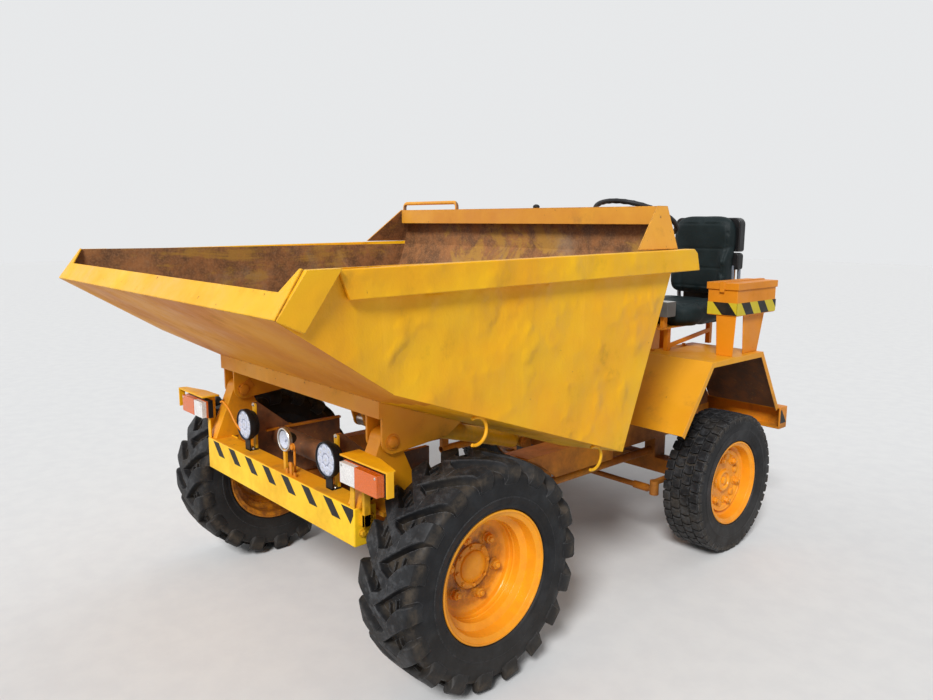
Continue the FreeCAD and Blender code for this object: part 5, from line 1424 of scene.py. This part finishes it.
class DUMPER_OT_seat(Operator):
    """Make the seat cushion, the backrest with its shell and the two struts behind it"""
    bl_idname = "dumper.seat"
    bl_label = "Seat"

    def execute(self, context):
        sizes = context.scene.dumper_seat
        border = lambda u, v: max(abs(u), abs(v)) - 0.74
        low, high = box("seat_cushion")
        half_x, half_y = (high.x - low.x) / 2, (high.y - low.y) / 2
        bm = pad_shape(half_x - 0.010, half_y - 0.010, high.z - low.z - 0.020, (5.0, 5.0), 0.030)
        mesh = swollen(mesh_from(bm, "cushion_cover", []), "cushion_cover", sizes)
        channels = [(border, 0.020), (lambda u, v: (abs(u) - 0.26) if abs(v) < 0.72 else 1.0, 0.022)]
        sewn(mesh, half_x, half_y, sizes.seam, channels)
        placed(mesh, (low + high) / 2, Vector((1, 0, 0)), Vector((0, 1, 0)), Vector((0, 0, 1)))
        mesh.materials.append(FINISH["seat_vinyl"])
        cushion = link_piece("seat_cushion_pad", mesh, "chassis", ["seat_cushion"])
        cushion.modifiers.new("smooth cover", "SUBSURF").render_levels = 1
        cushion.modifiers["smooth cover"].levels = 1
        low, high = box("seat_back")
        half_x, half_z = (high.x - low.x) / 2, (high.z - low.z) / 2
        depth = high.y - low.y
        front_depth = depth - 0.032
        bm = pad_shape(half_x - 0.008, half_z - 0.008, front_depth - 0.012, (4.4, 9.0), 0.026, 0.10)
        mesh = swollen(mesh_from(bm, "backrest_cover", []), "backrest_cover", sizes)
        rows = [(border, 0.020), (lambda u, v: (v - 0.16) if abs(u) < 0.72 else 1.0, 0.020),
                (lambda u, v: (v + 0.30) if abs(u) < 0.72 else 1.0, 0.020)]
        sewn(mesh, half_x, half_z, sizes.seam, rows)
        for vert in mesh.vertices:
            wing = ease(abs(vert.co.x) / half_x, 0.50, 0.88) * ease(-vert.co.y / half_z, -0.25, 0.15)
            vert.co.z += sizes.wings * wing * max(0.0, vert.co.z / front_depth + 0.5)
        centre = Vector(((low.x + high.x) / 2, low.y + front_depth / 2, (low.z + high.z) / 2))
        placed(mesh, centre, Vector((-1, 0, 0)), Vector((0, 0, 1)), Vector((0, -1, 0)))
        mesh.materials.append(FINISH["seat_vinyl"])
        backrest = link_piece("backrest_pad", mesh, "chassis", ["seat_back"])
        backrest.modifiers.new("smooth cover", "SUBSURF").render_levels = 1
        backrest.modifiers["smooth cover"].levels = 1
        bm = bmesh.new()
        waist = (low.z + high.z) / 2
        shells = ((waist + 0.020, high.z - 0.026, half_x - 0.006, 0.052),
                  (waist - 0.070, waist + 0.014, half_x - 0.008, 0.050),
                  (low.z + 0.040, waist - 0.076, half_x - 0.050, 0.046),
                  (low.z - 0.075, low.z + 0.034, half_x - 0.056, 0.030))
        for bottom, top, half, thick in shells:
            loop = []
            corner = min(0.045, (top - bottom) * 0.2)
            for cx, cz, start in ((half - corner, top - corner, 0.0), (-half + corner, top - corner, 0.5 * math.pi),
                                  (-half + 0.012, bottom + 0.012, math.pi), (half - 0.012, bottom + 0.012, 1.5 * math.pi)):
                size = corner if cz > (top + bottom) / 2 else 0.012
                for k in range(7):
                    a = start + math.pi / 2 * k / 6
                    loop.append(Vector((centre.x + cx + size * math.cos(a), high.y - 0.002, cz + size * math.sin(a))))
            add_plate(bm, loop, Vector((0, -thick, 0)))
        bmesh.ops.recalc_face_normals(bm, faces=bm.faces)
        shell = piece_from(bm, "backrest_shell", [FINISH["wheel_plastic"]], "chassis", (), 40)
        round_edges(shell, 0.006, 3, 40)
        bm = bmesh.new()
        for side in (-1, 1):
            for x, ahead in ((centre.x + side * 0.155, 0.052), (centre.x + side * 0.172, 0.018)):
                add_tube(bm, bent([Vector((x, high.y - ahead, waist - 0.050)), Vector((x, high.y - ahead + 0.006, low.z + 0.03)),
                                   Vector((x - side * 0.010, high.y - ahead, low.z - 0.060)),
                                   Vector((x - side * 0.060, high.y - ahead - 0.050, low.z - 0.104))], 0.03, 5), 0.0085, 14)
        bmesh.ops.recalc_face_normals(bm, faces=bm.faces)
        piece_from(bm, "backrest_struts", [FINISH["strut_steel"]], "chassis", (), 40)
        return {"FINISHED"}


class DUMPER_OT_hand_wheel(Operator):
    """Make the steering wheel with its grips, spokes and cap"""
    bl_idname = "dumper.hand_wheel"
    bl_label = "Steering wheel"

    def execute(self, context):
        axis = Vector((0, math.sin(math.radians(24)), math.cos(math.radians(24))))
        centre = at(0.335, 1.365, 1.535)
        low, high = box("steering_wheel")
        thick = 0.0125
        radius = (high.x - low.x) / 2 - thick
        side = Vector((1, 0, 0))
        other = axis.cross(side)
        bm = bmesh.new()
        turns, segments = 120, 14
        rings = []
        for k in range(turns):
            a = 2 * math.pi * k / turns
            out = side * math.cos(a) + other * math.sin(a)
            grip = 0.0010 * math.cos(a * 30)
            loop = []
            for n in range(segments):
                b = 2 * math.pi * n / segments
                size = thick - 0.0012 + (grip if math.cos(b) < 0.3 else 0.0)
                loop.append(bm.verts.new(centre + out * (radius + size * math.cos(b)) + axis * (size * math.sin(b))))
            rings.append(loop)
        for k in range(turns):
            first, second = rings[k], rings[(k + 1) % turns]
            for n in range(segments):
                bm.faces.new((first[n], first[(n + 1) % segments], second[(n + 1) % segments], second[n]))
        for angle in (90, 210, 330):
            a = math.radians(angle)
            out = side * math.cos(a) + other * math.sin(a)
            add_tube(bm, [centre - axis * 0.006 + out * 0.030, centre - axis * 0.004 + out * 0.09,
                          centre + out * (radius - 0.004)], 0.0085, 12)
        add_turned(bm, [(-0.026, 0.0), (-0.026, 0.028), (-0.020, 0.034), (-0.004, 0.034), (0.003, 0.030), (0.0065, 0.022),
                        (0.0078, 0.010), (0.0080, 0.0)], centre, axis, 40)
        add_turned(bm, [(-0.198, 0.0), (-0.198, 0.0155), (-0.022, 0.0155), (-0.022, 0.0)], centre, axis, 24, 1)
        bmesh.ops.recalc_face_normals(bm, faces=bm.faces)
        piece_from(bm, "steering_wheel_rim", [FINISH["wheel_plastic"], FINISH["dark_steel"]], "hand_wheel",
                   ["steering_wheel"], 40)
        return {"FINISHED"}


class DUMPER_OT_levers(Operator):
    """Make the levers with their knobs and folded rubber boots"""
    bl_idname = "dumper.levers"
    bl_label = "Levers"

    def execute(self, context):
        deck = 0.576
        rows = ((0.110, 1.290, deck, 1.180, 0.040, 0.020), (0.170, 1.330, deck, 1.080, 0.040, 0.020),
                (-0.100, 1.150, 0.570, 1.590, 0.010, 0.017))
        bm = bmesh.new()
        for x, y, low, top, lean, size in rows:
            foot, knob = at(x, y, low), at(x, y + lean, top)
            axis = (knob - foot).normalized()
            add_block(bm, at(x - 0.022, y - 0.015, low), at(x + 0.022, y + 0.025, low + 0.008), 0)
            add_tube(bm, [foot + axis * 0.004, knob - axis * 0.002], 0.0070, 14, 1)
            profile = [(0.006, 0.0185)]
            for k in range(5):
                profile += [(0.010 + 0.010 * k, 0.0185 - 0.0019 * k), (0.015 + 0.010 * k, 0.0150 - 0.0017 * k)]
            profile += [(0.064, 0.0078), (0.066, 0.0070)]
            add_turned(bm, [(0.006, 0.0)] + profile + [(0.066, 0.0)], foot, axis, 22, 2)
            add_turned(bm, [(-0.8 * size, 0.0), (-0.8 * size, 0.42 * size), (-0.55 * size, 0.52 * size),
                            (-0.25 * size, 0.86 * size), (0.05 * size, 0.99 * size), (0.35 * size, 0.93 * size),
                            (0.62 * size, 0.68 * size), (0.78 * size, 0.30 * size), (0.8 * size, 0.0)], knob, axis, 26, 2)
        bmesh.ops.recalc_face_normals(bm, faces=bm.faces)
        finishes = [FINISH[key] for key in ("frame_paint", "dark_steel", "wheel_plastic")]
        piece_from(bm, "lever_set", finishes, "chassis", ["control_levers"], 35)
        return {"FINISHED"}


class DUMPER_OT_pivots(Operator):
    """Make the skip's pivot pins with a domed head, a hexagon head and lock plates"""
    bl_idname = "dumper.pivots"
    bl_label = "Pivot pins"

    def execute(self, context):
        bm = bmesh.new()
        y, z = -0.210, 0.820
        for side in (-1, 1):
            out = Vector((side, 0, 0))
            outer, inner = at(side * 0.574, y, z), at(side * 0.480, y, z)
            add_turned(bm, [(-0.094, 0.0), (-0.094, 0.0188), (0.0, 0.0188), (0.0, 0.0)], outer, out, 28)
            add_turned(bm, [(0.0, 0.0), (0.0, 0.0275), (0.0030, 0.0270), (0.0035, 0.0205), (0.0055, 0.0200),
                            (0.0095, 0.0165), (0.0122, 0.0105), (0.0132, 0.0)], outer, out, 32)
            add_hex_bolt(bm, inner, -out, 0.040, 0.0135, 0.026)
            tilt = 0.6
            corners = []
            for u, v in ((-0.022, -0.020), (0.046, -0.020), (0.046, 0.020), (-0.022, 0.020)):
                corners.append(inner + Vector((-side * 0.0035, u * math.cos(tilt) - v * math.sin(tilt),
                                               u * math.sin(tilt) + v * math.cos(tilt))))
            add_plate(bm, corners, out * 0.0033)
        bmesh.ops.recalc_face_normals(bm, faces=bm.faces)
        piece_from(bm, "pivot_pin_set", [FINISH["orange_paint"]], "skip", ["pivot_pins"], 32)
        return {"FINISHED"}



class DUMPER_OT_guards(Operator):
    """Make the bent flats over the direction lamps and their posts on the bumper"""
    bl_idname = "dumper.guards"
    bl_label = "Lamp guards"

    def execute(self, context):
        bm = bmesh.new()
        for side in (-1, 1):
            def block(x0, y0, z0, x1, y1, z1):
                low, high = sorted((side * x0, side * x1))
                add_block(bm, at(low, y0, z0), at(high, y1, z1))
            add_plate(bm, [at(side * 0.5175, -0.374, 0.796), at(side * 0.764, -0.374, 0.796),
                           at(side * 0.764, -0.340, 0.796), at(side * 0.640, -0.306, 0.796),
                           at(side * 0.5175, -0.300, 0.796)], Vector((0, 0, 0.006)))
            block(0.7615, -0.374, 0.721, 0.7675, -0.348, 0.802)
            block(0.562, -0.324, 0.562, 0.575, -0.300, 0.796)
            block(0.549, -0.324, 0.562, 0.575, -0.300, 0.602)
            block(0.562, -0.330, 0.725, 0.632, -0.324, 0.796)
            add_plate(bm, [at(side * 0.522, -0.343, 0.621), at(side * 0.546, -0.343, 0.621),
                           at(side * 0.548, -0.343, 0.709), at(side * 0.526, -0.343, 0.709)], Vector((0, 0.005, 0)))
        bmesh.ops.recalc_face_normals(bm, faces=bm.faces)
        piece = piece_from(bm, "signal_guard_flats", [FINISH["yellow_paint"]], "chassis",
                           ["signal_guards"], 30)
        round_edges(piece, 0.0012)
        bm = bmesh.new()
        for side in (-1, 1):
            add_tube(bm, bent([at(side * 0.622, -0.322, 0.740), at(side * 0.622, -0.290, 0.735),
                               at(side * 0.600, -0.270, 0.700), at(side * 0.560, -0.262, 0.660),
                               at(side * 0.520, -0.262, 0.625)], 0.02, 4), 0.0042, 10)
        bmesh.ops.recalc_face_normals(bm, faces=bm.faces)
        piece_from(bm, "signal_lamp_leads", [FINISH["wheel_plastic"]], "chassis", (), 40)
        return {"FINISHED"}


class DUMPER_OT_frame_trim(Operator):
    """Add the flanges, bolts and weld beads of the frame and the bumper"""
    bl_idname = "dumper.frame_trim"
    bl_label = "Frame trim"

    def execute(self, context):
        bm = bmesh.new()
        for side in (-1, 1):
            x0, x1 = sorted((side * 0.3068, side * 0.2950))
            add_block(bm, at(x0, -0.205, 0.6710), at(x1, 0.149, 0.6800))
        bmesh.ops.recalc_face_normals(bm, faces=bm.faces)
        piece = piece_from(bm, "riser_flanges", [FINISH["orange_paint"]], "chassis", (), 30)
        round_edges(piece, 0.0015)
        rows = {}
        for spot, way, flats, body, finish in bolt_rows():
            rows.setdefault((body, finish), []).append((spot, way, flats))
        for (body, finish), places in rows.items():
            mesh = bolts_mesh(body + "_" + finish + "_bolts", places, FINISH[finish])
            link_piece(body + "_" + finish + "_bolts", mesh, body)
        for name, body, finish, lines in weld_rows():
            bm = bmesh.new()
            for start, end in lines:
                add_weld(bm, start, end)
            bmesh.ops.recalc_face_normals(bm, faces=bm.faces)
            piece_from(bm, name, [FINISH[finish]], body, (), 50)
        return {"FINISHED"}


def scatter_tree(name, finish):
    """Node group that sets a copy of one mesh at each point, turned along the point's facing."""
    tree = bpy.data.node_groups.new(name, "GeometryNodeTree")
    face = tree.interface
    face.new_socket("Places", in_out="INPUT", socket_type="NodeSocketGeometry")
    face.new_socket("Geometry", in_out="OUTPUT", socket_type="NodeSocketGeometry")
    shape = face.new_socket("Fitting", in_out="INPUT", socket_type="NodeSocketObject")
    grow = face.new_socket("Scale", in_out="INPUT", socket_type="NodeSocketFloat")
    entry = tree.nodes.new("NodeGroupInput")
    leave = tree.nodes.new("NodeGroupOutput")
    info = tree.nodes.new("GeometryNodeObjectInfo")
    facing = tree.nodes.new("GeometryNodeInputNamedAttribute")
    facing.data_type = "FLOAT_VECTOR"
    facing.inputs["Name"].default_value = "facing"
    size = tree.nodes.new("GeometryNodeInputNamedAttribute")
    size.data_type = "FLOAT"
    size.inputs["Name"].default_value = "size"
    product = tree.nodes.new("ShaderNodeMath")
    product.operation = "MULTIPLY"
    turn = tree.nodes.new("FunctionNodeAlignRotationToVector")
    turn.axis = "Z"
    copies = tree.nodes.new("GeometryNodeInstanceOnPoints")
    real = tree.nodes.new("GeometryNodeRealizeInstances")
    coat = tree.nodes.new("GeometryNodeSetMaterial")
    coat.inputs["Material"].default_value = finish
    links = tree.links
    links.new(entry.outputs[0], copies.inputs["Points"])
    links.new(entry.outputs[1], info.inputs["Object"])
    links.new(info.outputs["Geometry"], copies.inputs["Instance"])
    links.new(facing.outputs[0], turn.inputs["Vector"])
    links.new(turn.outputs[0], copies.inputs["Rotation"])
    links.new(size.outputs[0], product.inputs[0])
    links.new(entry.outputs[2], product.inputs[1])
    links.new(product.outputs[0], copies.inputs["Scale"])
    links.new(copies.outputs[0], real.inputs[0])
    links.new(real.outputs[0], coat.inputs[0])
    links.new(coat.outputs[0], leave.inputs[0])
    return tree, shape.identifier, grow.identifier


def bolts_mesh(name, places, finish):
    """Hexagon bolts with washers at given places, each 1 unit across its flats times its size."""
    bm = bmesh.new()
    add_hex_bolt(bm, Vector((0, 0, 0)), Vector((0, 0, 1)), 1.0, 0.62, 0.78)
    bmesh.ops.recalc_face_normals(bm, faces=bm.faces)
    one = bpy.data.objects.new(name + "_one", mesh_from(bm, name + "_one", [finish], 30))
    mesh = bpy.data.meshes.new(name + "_places")
    mesh.from_pydata([spot for spot, _, _ in places], [], [])
    mesh.attributes.new("facing", "FLOAT_VECTOR", "POINT")
    mesh.attributes.new("size", "FLOAT", "POINT")
    for k, (_, way, flats) in enumerate(places):
        mesh.attributes["facing"].data[k].vector = Vector(way)
        mesh.attributes["size"].data[k].value = flats
    holder = bpy.data.objects.new(name + "_places", mesh)
    for item in (one, holder):
        bpy.context.scene.collection.objects.link(item)
    tree, shape_id, grow_id = scatter_tree(name + "_tree", finish)
    step = holder.modifiers.new("fittings", "NODES")
    step.node_group = tree
    step[shape_id] = one
    step[grow_id] = 1.0
    made = bpy.data.meshes.new_from_object(holder.evaluated_get(bpy.context.evaluated_depsgraph_get()))
    made.name = name
    for item in (one, holder):
        bpy.data.objects.remove(item)
    if not made.materials:
        made.materials.append(finish)
    return made


def bolt_rows():
    """Places of the visible bolt heads: point, way it faces, size across flats, body and finish."""
    rows = []
    for side in (-1, 1):
        for y, z in ((-0.315, 0.535), (-0.285, 0.585)):
            rows.append((at(side * 0.5492, y, z), (side, 0, 0), 0.018, "chassis", "yellow_paint"))
        guard = box("mudguard_left")
        for y in (1.45, 1.58, 1.72):
            rows.append((Vector((side * 0.400, y + AXLE_Y, guard[1].z)), (0, 0, 1), 0.016, "chassis", "orange_paint"))
        beam = box("rear_beam")
        for x in (0.30, 0.42):
            for z in (0.535, 0.580):
                rows.append((Vector((side * x, beam[1].y, z)), (0, 1, 0), 0.022, "chassis", "orange_paint"))
        for angle in range(0, 360, 45):
            a = math.radians(angle)
            rows.append((at(side * 0.0705, 0.105 * math.sin(a), 0.3865 + 0.105 * math.cos(a)), (side, 0, 0), 0.014,
                         "chassis", "cast_grey"))
    return rows


def add_weld(bm, start, end, size=0.0045):
    """Weld bead of overlapping ripples along a seam."""
    line = end - start
    steps = max(3, int(line.length / 0.006))
    axis = line.normalized()
    side, other, _ = frame_of(axis)
    rings = []
    for k in range(steps + 1):
        wave = 1.0 + 0.16 * math.cos(k * 2.2) + 0.10 * noise.noise(start * 9 + axis * k * 0.21)
        radius = size * wave * (0.35 if k in (0, steps) else 1.0)
        rings.append([bm.verts.new(start + line * (k / steps) + (side * math.cos(a) + other * math.sin(a)) * radius)
                      for a in (2 * math.pi * n / 6 for n in range(6))])
    for first, second in zip(rings[:-1], rings[1:]):
        for n in range(6):
            bm.faces.new((first[n], first[(n + 1) % 6], second[(n + 1) % 6], second[n]))
    bm.faces.new(rings[0])
    bm.faces.new(rings[-1])


def weld_rows():
    """Seams with a visible bead: name, body, finish and the ends of each run."""
    return (("bumper_welds", "chassis", "yellow_paint",
             [(at(-0.545, -0.262, 0.6225), at(-0.445, -0.262, 0.6225)), (at(0.445, -0.262, 0.6225), at(0.545, -0.262, 0.6225))]),)


STEPS = (DUMPER_OT_stage, DUMPER_OT_finishes, DUMPER_OT_front_tyres, DUMPER_OT_rear_tyres, DUMPER_OT_wheels,
         DUMPER_OT_skip, DUMPER_OT_plates, DUMPER_OT_front_lamps, DUMPER_OT_signal_lamps, DUMPER_OT_hazard_bars,
         DUMPER_OT_seat, DUMPER_OT_hand_wheel, DUMPER_OT_levers, DUMPER_OT_pivots, DUMPER_OT_guards,
         DUMPER_OT_frame_trim)


class DUMPER_PT_steps(Panel):
    """Lists the pieces in the order in which they are made"""
    bl_idname = "DUMPER_PT_steps"
    bl_label = "Site dumper"
    bl_space_type = "VIEW_3D"
    bl_region_type = "UI"
    bl_category = "Dumper"

    def draw(self, context):
        for step in STEPS:
            self.layout.operator(step.bl_idname)


GROUPS = {"dumper_paint": DumperPaint, "dumper_stage": DumperStage, "dumper_tyres": DumperTyres,
          "dumper_skip": DumperSkip, "dumper_lamps": DumperLamps, "dumper_seat": DumperSeat}


def register():
    for name, group in GROUPS.items():
        bpy.utils.register_class(group)
        setattr(bpy.types.Scene, name, PointerProperty(type=group))
    for step in STEPS:
        bpy.utils.register_class(step)
    bpy.utils.register_class(DUMPER_PT_steps)


def unregister():
    bpy.utils.unregister_class(DUMPER_PT_steps)
    for step in reversed(STEPS):
        bpy.utils.unregister_class(step)
    for name, group in GROUPS.items():
        delattr(bpy.types.Scene, name)
        bpy.utils.unregister_class(group)


def main():
    register()
    for step in STEPS:
        family, name = step.bl_idname.split(".")
        getattr(getattr(bpy.ops, family), name)()


if __name__ == "__main__":
    main()
